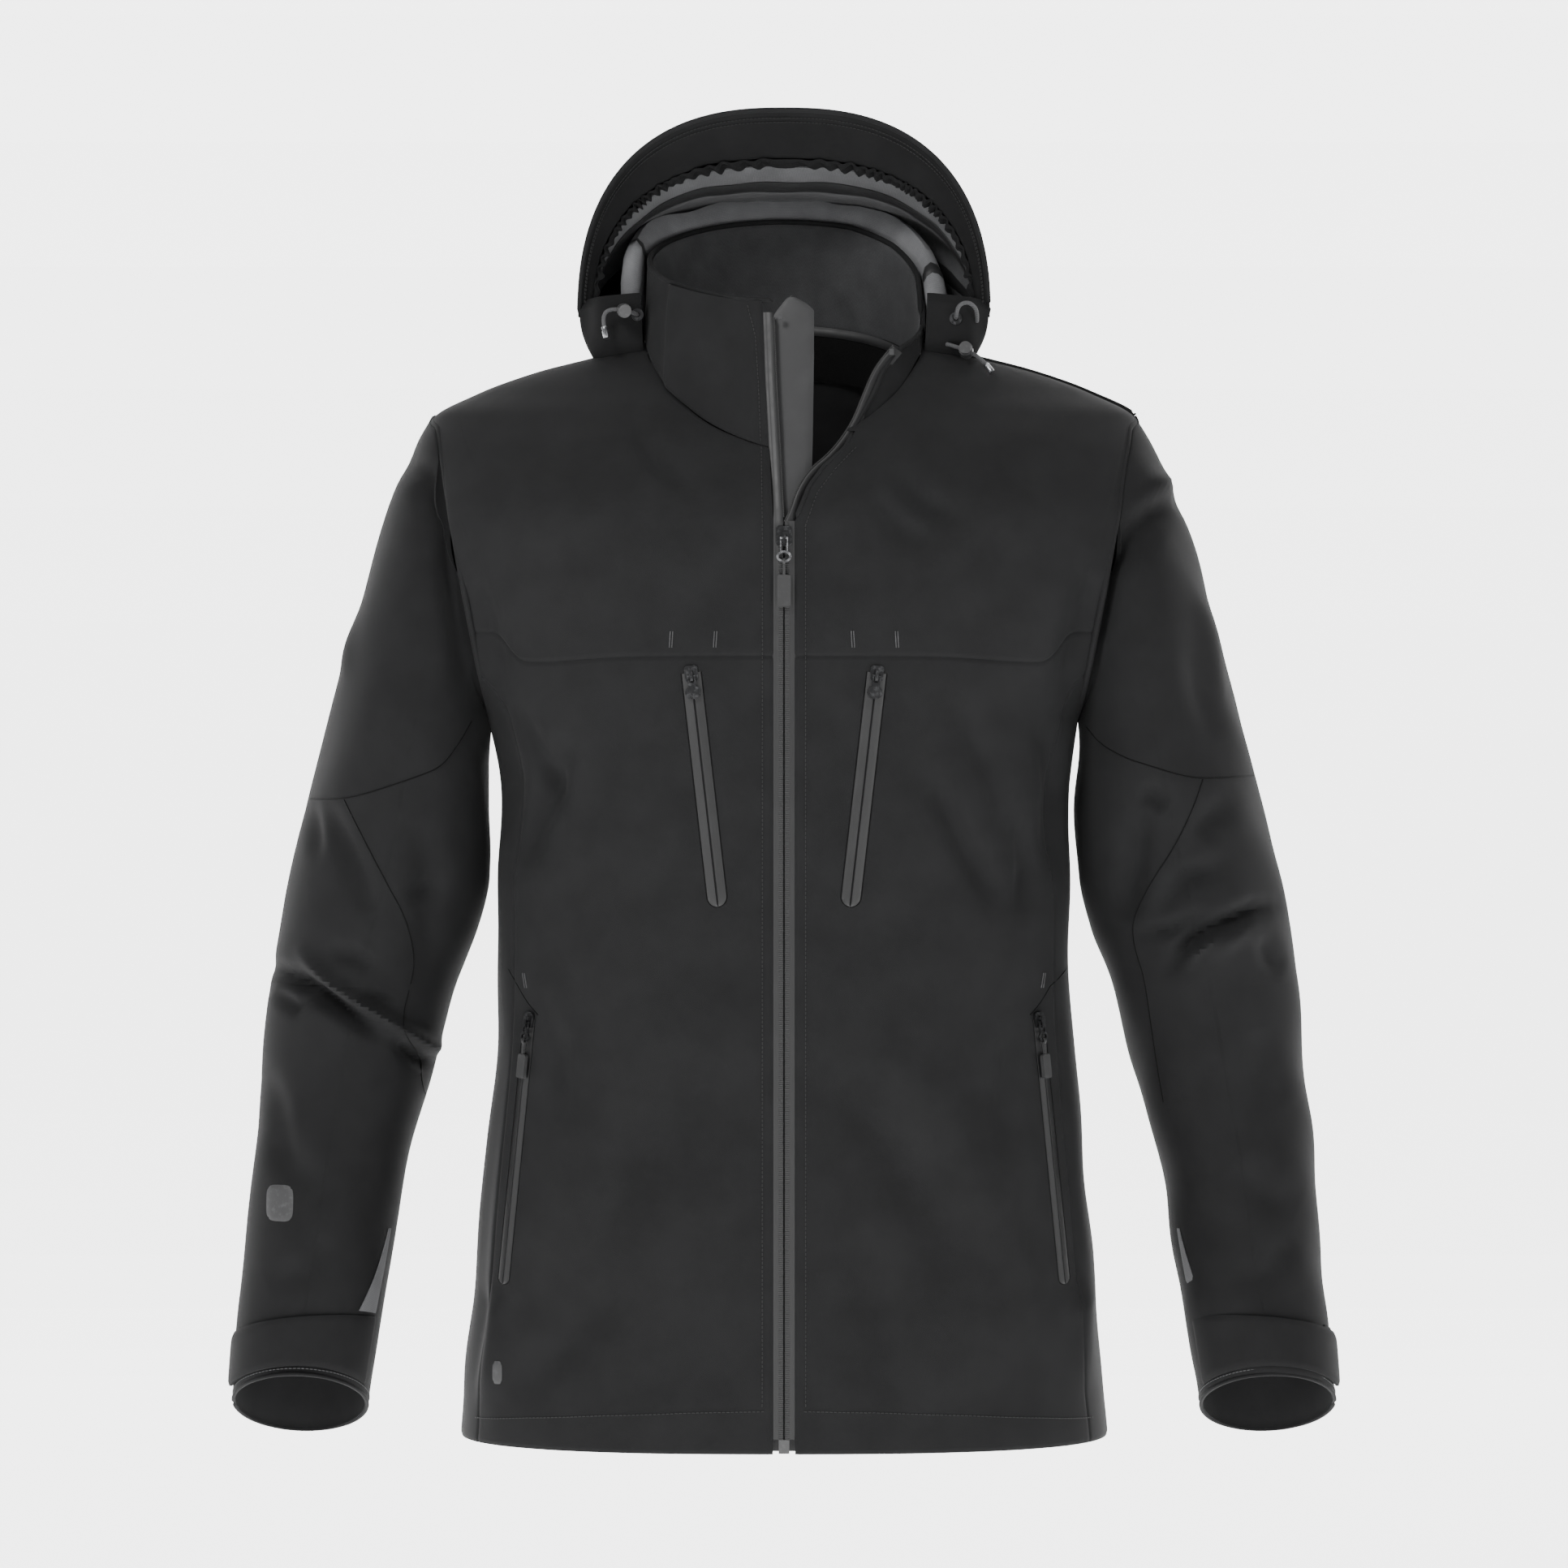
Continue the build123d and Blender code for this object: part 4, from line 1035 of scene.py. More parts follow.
def collar_pieces():
    zip_rim = degrees(asin((ZIP_HALF + 7.4) / COLLAR_RIM[4]))
    shape = {}
    right_low = lambda u: (lerp(ZIP_FOOT, 90, u), neck_seam(round(lerp(ZIP_FOOT, 90, u), 3)))
    right = coons(right_low, lambda u: (lerp(zip_rim, 90, u), 1.0),
                  lambda v: (lerp(ZIP_FOOT, zip_rim, v), lerp(right_low(0)[1], 1, v)),
                  lambda v: (90, lerp(right_low(1)[1], 1, v)))
    shape["collar_right"] = (right, 120, 95, -1, "collar_front_right")
    left_low = lambda u: (lerp(OPEN_FOOT, DROOP_END, u),
                          neck_seam(round(lerp(OPEN_FOOT, DROOP_END, u), 3)))
    rim = split(straight((57.4, 0.55), (86, 0.54)),
                lambda v: (lerp(86, DROOP_END, v), collar_rim(lerp(86, DROOP_END, v))), 0.7)

    def open_edge(v):
        t = lerp(left_low(0)[1], 0.55, v)
        return (line_at(COLLAR_EDGE, t), t)
    left = coons(left_low, rim, open_edge,
                 lambda v: (DROOP_END, lerp(left_low(1)[1], 0.84, v)))
    shape["collar_left"] = (left, 110, 70, 1, "collar_front_left")
    round_back = lambda u: lerp(DROOP_END, 270, u)
    back_low = lambda u: (round_back(u), neck_seam(round(min(round_back(u),
                                                             360 - round_back(u)), 3)))
    back = coons(back_low, lambda u: (round_back(u), collar_rim(round_back(u))),
                 lambda v: (DROOP_END, lerp(back_low(0)[1], 0.84, v)),
                 lambda v: (270, lerp(back_low(1)[1], 1, v)))
    shape["collar_rear"] = (back, 270, 95, 1, "collar_back")
    for name, (patch, wide, tall, sign, node) in shape.items():
        piece = cloth(name, patch_rows(patch, collar, wide, tall, 2.6, sign), SHELL,
                      away=NECK_AXIS, relief=collar_relief, turned=(1, 1, 1, 0))
        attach(piece, "torso")
        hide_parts(node)
        PANELS[name] = piece


INSIDE_FOLDS = [
    ([(-40, 40), (-34, 20), (-28, 0)], -2.4, 5), ([(-8, 46), (-4, 20), (-2, -6)], -2.2, 5),
    ([(-26, 14), (-16, 6), (-10, -4)], 2.4, 4), ([(26, 40), (34, 20), (44, -4)], -2.6, 5),
    ([(38, 44), (48, 26), (56, 8)], 2.0, 5), ([(-60, 46), (-62, 20), (-66, 0)], -1.8, 6),
    ([(10, 52), (14, 34), (18, 16)], 1.6, 6)]


def collar_inside():
    def lining_relief(points, normal):
        folds = creases(points, INSIDE_FOLDS) * (points[..., 1] > -60)
        return np.maximum(folds * 1.4 + soft(points, 31, 50, 0.6) + 1.2, 0.0)

    angles = [lerp(60, 335, u) for u in steps(420, 3)]
    rows = [[collar(a, lerp(0.2, top_of(a) - 0.012, v), 2.9) for a in angles]
            for v in steps(75, 3)]
    lining = cloth("collar_lining_cloth", rows, COLLAR_KNIT, 1.1, NECK_AXIS, lining_relief,
                   flip=True, slot="collar_lining")
    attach(lining, "torso")
    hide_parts("collar_lining")
    PANELS["collar_lining_cloth"] = lining
    # The neck facing is a dark sheet inside the foot of the collar: painted shade for the dark
    # inside of the neck.
    rows = [[collar(a, lerp(-0.2, 0.22, v), 4.4 + 1.2 * sin(v * pi)) for a in angles]
            for v in steps(40, 3)]
    facing = cloth("neck_facing_painted_shade", rows, SHADED_FACING, 1.0, NECK_AXIS, None, flip=True,
                   slot="grey_lining")
    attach(facing, "torso")
    rows = [[collar(a, lerp(0.15, 0.225, v), 5.9 + 0.7 * sin(v * pi)) for a in angles]
            for v in steps(8, 2)]
    tape = cloth("neck_tape", rows, SEAM_TAPE, 0.8, NECK_AXIS, None, flip=True,
                 slot="grey_lining", drop=0.4)
    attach(tape, "torso")


def top_of(angle):
    return collar_rim(max(86, angle)) if angle < 270 else 1.0


def tube_rows(path, radius, sides=10, squash=1.0):
    """Rows of points round a path, for a closed loop in u."""
    points = [Vector(p) for p in path]
    rows = []
    for i, p in enumerate(points):
        ahead = (points[min(i + 1, len(points) - 1)] - points[max(i - 1, 0)]).normalized()
        side = ahead.cross(Vector((0, 0, 1)))
        side = side.normalized() if side.length > 0.05 else Vector((1, 0, 0))
        up = side.cross(ahead).normalized()
        ends = 0.15 if i in (0, len(points) - 1) else 1.0
        rows.append([tuple(p + (side * cos(2 * pi * k / sides) * radius * squash
                                + up * sin(2 * pi * k / sides) * radius) * ends)
                     for k in range(sides)])
    return rows


def roll(name, path, radius, material, squash=1.0):
    """A closed tube of cloth along a path, for bound and turned edges."""
    rows = np.array(tube_rows(path, radius, squash=squash))
    count, sides = rows.shape[:2]
    mesh = bmesh.new()
    verts = [[mesh.verts.new(Vector(p) * MM) for p in row] for row in rows]
    for low, high in zip(verts, verts[1:]):
        for i in range(sides):
            j = (i + 1) % sides
            mesh.faces.new((low[i], low[j], high[j], high[i]))
    mesh.faces.new(verts[0][::-1])
    mesh.faces.new(verts[-1])
    layer = mesh.loops.layers.uv.new("cloth")
    far = {v: (k / sides * 2 * pi * radius, n) for n, row in enumerate(verts)
           for k, v in enumerate(row)}
    for face in mesh.faces:
        for corner in face.loops:
            u, v = far[corner.vert]
            corner[layer].uv = (u * MM, v * MM)
    piece = finish_mesh(name, mesh, material, 60)
    return piece


def collar_edges():
    path = [collar(a, top_of(a) + 0.002, 1.4) for a in [lerp(88, 266, i / 110) for i in range(111)]]
    front = [collar(a, 1.002, 1.4) for a in [lerp(267, 355.5, i / 60) for i in range(61)]]
    rim = roll("collar_rim", path + front, 1.9, SHELL)
    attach(rim, "torso")
    foot_z = neck_point(OPEN_FOOT)[1]
    edge = []
    for z in [lerp(OPEN_Z + 2, foot_z, i / 24) for i in range(24)]:
        edge.append(torso(angle_at(line_at(OPEN_EDGE, z), z), z, 0.6))
    edge += [collar(line_at(COLLAR_EDGE, t), t, 0.6) for t in [0.55 * i / 30 for i in range(31)]]
    edge += [collar(lerp(57.4, 87, i / 16), 0.55, 0.8) for i in range(1, 17)]
    roll_edge = roll("collar_open_edge", edge, 1.5, SHELL)
    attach(roll_edge, "torso")


armhole_edges()
collar_pieces()
collar_inside()
collar_edges()


# ---------------------------------------------------------------- hood
def hood_blend(piece):
    """The piece's placement is baked into its mesh."""
    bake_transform(piece)


def hood_table_rows(table, turns, across, inset=0.0):
    rows = []
    for turn in turns:
        _, half, reach = smooth_row(table, round(turn, 3))
        rows.append([hood(turn, a, half - inset, reach - inset) for a in across])
    return rows


def hood_relief(points, normal):
    z = np.clip((points[..., 2] - 5) / 40, 0.2, 1)
    seams = -0.9 * np.exp(-((np.abs(points[..., 0]) - 62) / 1.6) ** 2) * (points[..., 1] > -55)
    rolls = soft(points, 41, 95, 1.5) * z * np.clip((points[..., 1] + 78) / 40, 0.15, 1)
    return np.maximum(rolls, -0.5) + seams


def hood_skirt():
    """Rows from the hood's lower edge down and in to the neck seam."""
    rows = []
    _, half, reach = smooth_row(HOOD, 90.0)
    for v in between(0, 1, 7):
        row = []
        for a in between(1.0, 179.0, 150):
            x, y, z = hood(90.0, a, half, reach)
            turn = lerp(84, 276, (a - 1) / 178)
            nx, ny, nz = collar(turn, neck_seam(round(min(turn, 360 - turn), 3)), -2.0)
            sag = sin(v * pi) * 7
            reach_in = ramp(v) * 0.6 + v * 0.4
            row.append((lerp(x, nx, reach_in), lerp(y, ny, reach_in),
                        lerp(z, nz + 1.0, v) - sag * 0.6))
        rows.append(row)
    return rows


def hood_pieces():
    across = between(1.0, 179.0, 150)
    rows = hood_table_rows(HOOD, between(-2, 90, 58), across)
    rows += hood_skirt()[1:]
    shell = cloth("hood_shell_cloth", rows, SHELL, 1.5, HOOD_HEART, hood_relief)
    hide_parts("hood_shell")

    def brim_relief(points, normal):
        tuck = creases(points, [([(-104, 92), (-98, 84), (-92, 78)], -1.6, 6),
                                ([(-58, 122), (-50, 112), (-46, 104)], -1.4, 7),
                                ([(84, 98), (90, 90), (92, 82)], -1.0, 7)])
        return tuck + soft(points, 43, 60, 0.5)
    rows = hood_table_rows(BRIM, between(-2, 12, 12), across)
    # The brim takes the darker copy of the shell cloth, which is painted shade.
    brim = cloth("hood_brim_cloth", rows, SHADED_SHELL, 1.2, HOOD_HEART, brim_relief, flip=True)
    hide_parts("hood_brim")

    def lining_relief(points, normal):
        return np.maximum(soft(points, 47, 48, 1.6), -0.4)
    rows = hood_table_rows(HOOD_LINING, between(16.4, 90, 44), between(2, 178, 130), 0.6)
    lining = cloth("hood_lining_cloth", rows, LINING, 1.0, HOOD_HEART, lining_relief,
                   flip=True, slot="grey_lining")
    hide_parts("hood_lining")
    pieces = [shell, brim, lining]
    for name, turns in (("hood_seam_tape", (24.5, 32.5)), ("hood_back_tape", (58, 64))):
        rows = hood_table_rows(HOOD_LINING, between(*turns, 5), between(4, 176, 120), 0.6)
        tape = cloth(name, rows, SEAM_TAPE, 0.5, HOOD_HEART, lining_relief, lift=1.2,
                     flip=True, slot="coated_tape", drop=0.3)
        pieces.append(tape)
    pieces.append(gathered_edge())
    rim = [hood(-2.4, a, 138.9, 145.9) for a in between(1.0, 179.0, 130)]
    pieces.append(roll("hood_rim", rim, 1.7, SHELL))
    for piece in pieces:
        hood_blend(piece)
        PANELS[piece.name] = piece


def gathered_edge():
    """The elastic casing inside the brim: close, uneven ruffles."""
    rng = np.random.default_rng(7)
    count = 620
    phase, phases, fullness = 0.0, [], []
    for k in range(count + 1):
        phase += 2 * pi / (14.5 + 4.5 * sin(k * 0.021 + 1) + 3 * sin(k * 0.13) + rng.uniform(-2, 2))
        phases.append(phase)
        fullness.append(1.1 + 0.45 * sin(k * 0.057) + 0.35 * sin(k * 0.171 + 2))
    rows = []
    shape = [(11.4, 0.6, 0.5), (12.6, 2.4, 1.3), (13.6, 0.8, 1.4), (14.4, 3.4, 1.1),
             (15.3, 0.9, 1.4), (16.3, 2.6, 1.3), (17.2, 0.2, 0.5)]
    _, half, reach = smooth_row(HOOD_LINING, 16.4)
    for n, (turn, inward, swing) in enumerate(shape):
        row = []
        for k in range(count + 1):
            a = lerp(3, 177, k / count)
            wave = sin(phases[k] + 0.35 * n) * swing * fullness[k]
            ripple = 1.1 * sin(phases[k] * 0.5 + n * 0.9)
            row.append(hood(turn + ripple * 0.3, a, half - inward - wave + 1.2,
                            reach - inward - wave + 2.0))
        rows.append(row)
    piece = cloth("gathered_edge", rows, ELASTIC, 0.7, HOOD_HEART, None, flip=True,
                  slot="elastic", drop=0.2)
    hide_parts("hood_edge_elastic")
    return piece


def neck_roll():
    """The padded knit roll that joins the collar to the hood, with taped seams across it."""
    arc = [(0.42, -3.0), (0.7, -3.4), (0.92, -3.6), (1.03, -4.0), (1.1, -6.0), (1.135, -9.5),
           (1.11, -13.5), (1.04, -16.0), (0.9, -17.0), (0.7, -15.5), (0.5, -13.0)]

    def rows_for(angles):
        rows = []
        for t, inset in arc:
            row = []
            for a in angles:
                scale = top_of(min(max(a, 92), 268)) if a < 150 else 1.0
                slack = 1.6 * sin(radians(a) * 6 + 0.6) + 0.9 * sin(radians(a) * 11)
                top = ramp(t, 0.9, 1.13)
                sink = 0.06 * (1 - ramp(abs(a - 180), 60, 92)) - 0.06
                plump = ramp(min(a - 84, 276 - a), 0, 12) ** 0.6
                row.append(collar(a, lerp(0.4, t * scale + sink + 0.006 * slack * top, plump),
                                  lerp(-9.0, inset, plump) - 0.5 * slack * top))
            rows.append(row)
        return rows

    def padding(points, normal):
        return soft(points, 51, 36, 0.9)
    piece = cloth("neck_roll", rows_for(between(84.5, 275.5, 170)), ROLL_CLOTH, 0.9, NECK_AXIS,
                  padding, slot="grey_lining")
    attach(piece, "torso")
    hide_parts("hood_neck_panel")
    for number, (low, high) in enumerate(((152, 162), (198.5, 208.5), (97, 101), (259, 263))):
        tape = cloth(f"roll_tape_{number + 1}", rows_for(between(low, high, 8)), SEAM_TAPE, 0.4,
                     NECK_AXIS, padding, lift=1.1, slot="coated_tape", drop=0.2)
        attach(tape, "torso")


def cheeks():
    """The hood's lower front corners, where the cord comes out."""
    for side, sign in (("left", 1), ("right", -1)):
        rows = []
        for v in between(0, 1, 26):
            row = []
            for u in between(0, 1, 30):
                low = (lerp(95, 126, u), -17 - 7 * u * u)
                high = (lerp(97, 138.5, u), lerp(27, 23, u))
                x, z = lerp(low[0], high[0], v), lerp(low[1], high[1], v)
                x += 5.0 * sin(v * pi) * u
                back = 13.5 * ramp(x, 121, 139) ** 1.2 + 9 * ramp(-z, 6, 24)
                back += 6.5 * ramp(v, 0.82, 1.0)
                row.append((sign * x, -86.6 + back, z))
            rows.append(row)

        def relief(points, normal):
            return soft(points, 61, 34, 0.7) * np.clip((np.abs(points[..., 0]) - 96) / 20, 0, 1)
        # The cheeks take the darker copy of the shell cloth, which is painted shade.
        piece = cloth(f"cheek_{side}", rows, SHADED_SHELL, 1.6, (sign * 110, -50, None), relief,
                      drop=0.7)
        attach(piece, "torso")
        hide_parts("hood_cheeks")
        PANELS[piece.name] = piece


hood_pieces()
neck_roll()
cheeks()


# ---------------------------------------------------------------- sleeves
def sleeve_blend(piece):
    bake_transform(piece)


def elbow_blend(piece):
    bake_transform(piece)


def sleeve_rows(sections, angles, sign, inset=0.0):
    return [sided((sleeve(t, a, inset) for a in angles), sign) for t in sections]


def sleeves():
    for side, sign in (("left", 1), ("right", -1)):
        angles = between(-90, 270, 150)[:-1]
        upper = [0, 0.01, 0.03] + between(0.09, ELBOW, 92)
        lower = between(ELBOW, CUFF, 96)
        relief = sleeve_relief(side)
        arm = cloth(f"upper_sleeve_{side}", sleeve_rows(upper, angles, sign), SLEEVE_CLOTH,
                    away=None, relief=relief, loop=True, turned=(0, 0, 1, 0))
        sleeve_blend(arm)
        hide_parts(f"sleeve_upper_outer_{side}", f"sleeve_upper_under_{side}")
        fore = cloth(f"lower_sleeve_{side}", sleeve_rows(lower, angles, sign), SLEEVE_CLOTH,
                     away=None, relief=relief, loop=True, turned=(0, 0, 0, 1))
        elbow_blend(fore)
        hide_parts(f"forearm_{side}")
        PANELS[arm.name], PANELS[fore.name] = arm, fore
        cuffs(side, sign)


def cuffs(side, sign):
    body = f"forearm_{side}"
    rows = []
    for t in between(9.6, 10.81, 14):
        far = lerp(205, 223, (t - 9.6) / 1.2)
        rows.append(sided((sleeve(t, lerp(202, far, u), -1.9) for u in between(0, 1, 6)), sign))
    gusset = cloth(f"gusset_{side}", rows, LINING, 0.6, away=(sign * 315, -90, None),
                   slot="grey_lining", drop=0.2)
    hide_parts(f"cuff_gusset_{side}")
    rows = sleeve_rows(between(10.98, 11.62, 12), between(-30, 32, 26), sign, -0.6)
    pile = cloth(f"loop_patch_{side}", rows, PILE, 0.8, away=(sign * 315, -90, None),
                 slot="loop_pile", drop=0.3)
    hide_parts(f"cuff_loop_patch_{side}")
    rows = []
    for v in between(0, 1, 14):
        row = []
        for u in between(0, 1, 70):
            tip = ramp(u, 0.86, 1.0)
            upper = 10.86 + 0.22 * u
            t = lerp(lerp(upper, 11.25, tip ** 2), lerp(11.88, 11.55, tip ** 2), v)
            bulge = 1.3 * sin(u * pi) + 2.2 * ramp(u, 0.6, 1.0)
            x, y, z = sleeve(t, lerp(197, 362, u), -1.6 - bulge)
            row.append((sign * x, y, z))
        rows.append(row)
    strap = cloth(f"cuff_tab_{side}", rows, SLEEVE_CLOTH, 1.8, away=(sign * 325, -90, None),
                  drop=0.9)
    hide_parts(f"cuff_strap_{side}")
    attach(strap, f"cuff_strap_{side}")
    for piece in (gusset, pile):
        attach(piece, body)
    PANELS[strap.name] = strap
    edge = sided((sleeve(CUFF, a, 0.7) for a in between(0, 360, 80)), sign)
    hem = roll(f"cuff_edge_{side}", edge, 1.3, SLEEVE_CLOTH)
    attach(hem, body)


sleeves()


# ---------------------------------------------------------------- lines on the cloth
IN_FRONT = -0.4                         # metres, before the whole jacket


class Surfaces:
    """Finished panels that lines and tapes are laid on from in front."""

    def __init__(self, names):
        verts, faces = [], []
        for name in names:
            mesh = PANELS[name].data
            start = len(verts)
            verts += [v.co.copy() for v in mesh.vertices]
            faces += [[start + i for i in p.vertices] for p in mesh.polygons]
        self.tree = BVHTree.FromPolygons(verts, faces)

    def under(self, x, z):
        """The cloth at x and z in millimetres, and which way it faces."""
        start = Vector((x * MM, IN_FRONT, z * MM))
        spot, normal, _, _ = self.tree.ray_cast(start, Vector((0, 1, 0)))
        return (spot, normal) if spot is not None else None

    def lay(self, line, gap=3.0, lift=0.0):
        """Points in millimetres on the cloth along a line of (x, z)."""
        found = []
        for a, b in zip(line, line[1:]):
            count = max(1, round(hypot(b[0] - a[0], b[1] - a[1]) / gap))
            last = b is line[-1]
            for i in range(count + (1 if last else 0)):
                hit = self.under(lerp(a[0], b[0], i / count), lerp(a[1], b[1], i / count))
                if hit:
                    found.append(tuple((hit[0] + hit[1] * lift * MM) / MM))
        return found


FRONT = Surfaces([n for n in PANELS if n.startswith(("front_", "side_cloth", "back_"))])
ARMS = Surfaces([n for n in PANELS if n.startswith(("upper_sleeve", "lower_sleeve"))])
NECK = Surfaces(["collar_right", "collar_left", "collar_rear"])


def rounded(line, passes=2):
    """A line with its corners cut off softly."""
    for _ in range(passes):
        cut = [line[0]]
        for a, b in zip(line, line[1:]):
            cut.append(tuple(lerp(p, q, 0.25) for p, q in zip(a, b)))
            cut.append(tuple(lerp(p, q, 0.75) for p, q in zip(a, b)))
        line = cut + [line[-1]]
    return line


def path_object(paths):
    """Open lines as one mesh of edges, in metres."""
    verts, edges = [], []
    for path in paths:
        start = len(verts)
        verts += [tuple(c * MM for c in p) for p in path]
        edges += [(start + i, start + i + 1) for i in range(len(path) - 1)]
    data = bpy.data.meshes.new("line")
    data.from_pydata(verts, edges, [])
    return new_object("line", data)


class Tree:
    """A geometry tree with named inputs, built node by node."""

    def __init__(self, name, inputs, material):
        self.group = bpy.data.node_groups.new(name, "GeometryNodeTree")
        face = self.group.interface
        face.new_socket("Lines", in_out="INPUT", socket_type="NodeSocketGeometry")
        self.keys = {}
        for key, value in inputs.items():
            kind = "NodeSocketInt" if isinstance(value, int) else "NodeSocketFloat"
            socket = face.new_socket(key, in_out="INPUT", socket_type=kind)
            self.keys[key] = socket.identifier
        face.new_socket("Made", in_out="OUTPUT", socket_type="NodeSocketGeometry")
        self.inputs = self.group.nodes.new("NodeGroupInput")
        self.material = material

    def node(self, kind, sockets=None, **settings):
        node = self.group.nodes.new(kind)
        for key, value in settings.items():
            setattr(node, key, value)
        for key, value in (sockets or {}).items():
            if isinstance(value, bpy.types.NodeSocket):
                self.group.links.new(value, node.inputs[key])
            else:
                node.inputs[key].default_value = value
        return node

    def given(self, key):
        return self.inputs.outputs[key]

    def curve(self):
        return self.node("GeometryNodeMeshToCurve", {0: self.given("Lines")}).outputs[0]

    def radius(self):
        half = self.node("ShaderNodeMath", {0: self.given("Thick"), 1: 0.5},
                         operation="MULTIPLY")
        return half.outputs[0]

    def repeat(self, shape, **sockets):
        """One shape each pitch along every line."""
        points = self.node("GeometryNodeResampleCurve", {"Curve": self.curve(),
                                                         "Length": self.given("Pitch")},
                           mode="LENGTH")
        rows = self.node("GeometryNodeInstanceOnPoints", {
            "Points": points.outputs[0], "Instance": shape.outputs[0], **sockets})
        return self.close(rows.outputs[0])

    def close(self, geometry):
        real = self.node("GeometryNodeRealizeInstances", {0: geometry})
        painted = self.node("GeometryNodeSetMaterial", {"Geometry": real.outputs[0],
                                                        "Material": self.material})
        end = self.group.nodes.new("NodeGroupOutput")
        self.group.links.new(painted.outputs[0], end.inputs[0])
        return self

    def made(self, name, source, values):
        """The result on a source object as a plain mesh object. The source is used up."""
        modifier = source.modifiers.new("made", "NODES")
        modifier.node_group = self.group
        for key, value in values.items():
            modifier[self.keys[key]] = value
        graph = bpy.context.evaluated_depsgraph_get()
        data = bpy.data.meshes.new_from_object(source.evaluated_get(graph))
        source.modifiers.remove(modifier)
        bpy.data.objects.remove(source)
        data.name = name
        if not data.uv_layers:
            data.uv_layers.new(name="cloth")
        return new_object(name, data)


def stitch_tree(material):
    """Short stitches laid end to end along every line."""
    tree = Tree("stitch row", {"Pitch": 0.0028, "Length": 0.002, "Thick": 0.0006}, material)
    stitch = tree.node("GeometryNodeMeshCylinder", {"Vertices": 6, "Radius": tree.radius(),
                                                    "Depth": tree.given("Length")})
    tangent = tree.node("GeometryNodeInputTangent")
    turn = tree.node("FunctionNodeAlignRotationToVector", {"Vector": tangent.outputs[0]},
                     axis="Z")
    return tree.repeat(stitch, Rotation=turn.outputs[0])


def line_tree(material):
    """A fine round line along every path."""
    tree = Tree("seam line", {"Thick": 0.001}, material)
    ring = tree.node("GeometryNodeCurvePrimitiveCircle", {"Resolution": 6,
                                                          "Radius": tree.radius()})
    tube = tree.node("GeometryNodeCurveToMesh", {"Curve": tree.curve(),
                                                 "Profile Curve": ring.outputs[0],
                                                 "Fill Caps": True})
    return tree.close(tube.outputs[0])


def bar_tree(material):
    """Small rounded bars across a zip, one each pitch, on every line."""
    tree = Tree("coil ridges", {"Pitch": 0.00135, "Width": 0.003, "Thick": 0.0008}, material)
    bar = tree.node("GeometryNodeMeshCylinder", {"Vertices": 8, "Radius": tree.radius(),
                                                 "Depth": tree.given("Width")})
    return tree.repeat(tree.node("GeometryNodeTransform", {"Geometry": bar.outputs[0],
                                                           "Rotation": (0, pi / 2, 0)}))


def bead_tree(material):
    """Coil teeth seen from their edge: small round beads along every line."""
    tree = Tree("coil teeth", {"Pitch": 0.0014, "Thick": 0.0013}, material)
    return tree.repeat(tree.node("GeometryNodeMeshIcoSphere", {"Radius": tree.radius(),
                                                               "Subdivisions": 1}))


STITCH, DARK_STITCH = stitch_tree(THREAD), stitch_tree(DARK_THREAD)
SEAM_LINE = line_tree(SEAM)
RIDGE, TOOTH = bar_tree(COATED), bead_tree(PARTING)


def stitches(name, paths, tree=STITCH, pitch=2.8, length=1.9, thick=0.62):
    piece = tree.made(name, path_object(paths), {"Pitch": pitch * MM, "Length": length * MM,
                                                 "Thick": thick * MM})
    return piece


def seam(name, paths, thick=1.0):
    piece = SEAM_LINE.made(name, path_object(paths), {"Thick": thick * MM})
    return piece


# ---------------------------------------------------------------- main zip
LEFT_COIL = [(-133, 0.6, -183.4), (-127, 3.4, -180.5), (-111, 8.7, -174.5), (-98, 17, -168.5),
             (-88, 29, -161.5), (-77, 38, -155), (-64, 46, -147), (-47, 52.5, -137.5),
             (-31, 59, -129), (-22, 65, -123), (-12.5, 72.6, -116)]


def front_face(z):
    """The face of the closed zip: a little behind the fronts."""
    return line_at(FRONT_LINE, z) + 0.6


def tape_rows(sign, low, high, cuts=260):
    """One coated tape from its parting edge to under the front."""
    profile = [(0.25, 0.75), (0.32, 0.1), (0.8, -0.28), (1.6, -0.42), (2.8, -0.42), (3.8, -0.22),
               (4.4, 0.05), (5.4, 0.12), (6.6, 0.16), (7.6, 0.75)]
    rows = []
    for v in between(0, 1, cuts):
        z = lerp(low, high, v)
        y = front_face(z)
        shift = line_at(RIGHT_SHIFT, z) if sign < 0 else 0.0
        rows.append([(sign * (x + shift), y + up, z) for x, up in profile])
    return rows


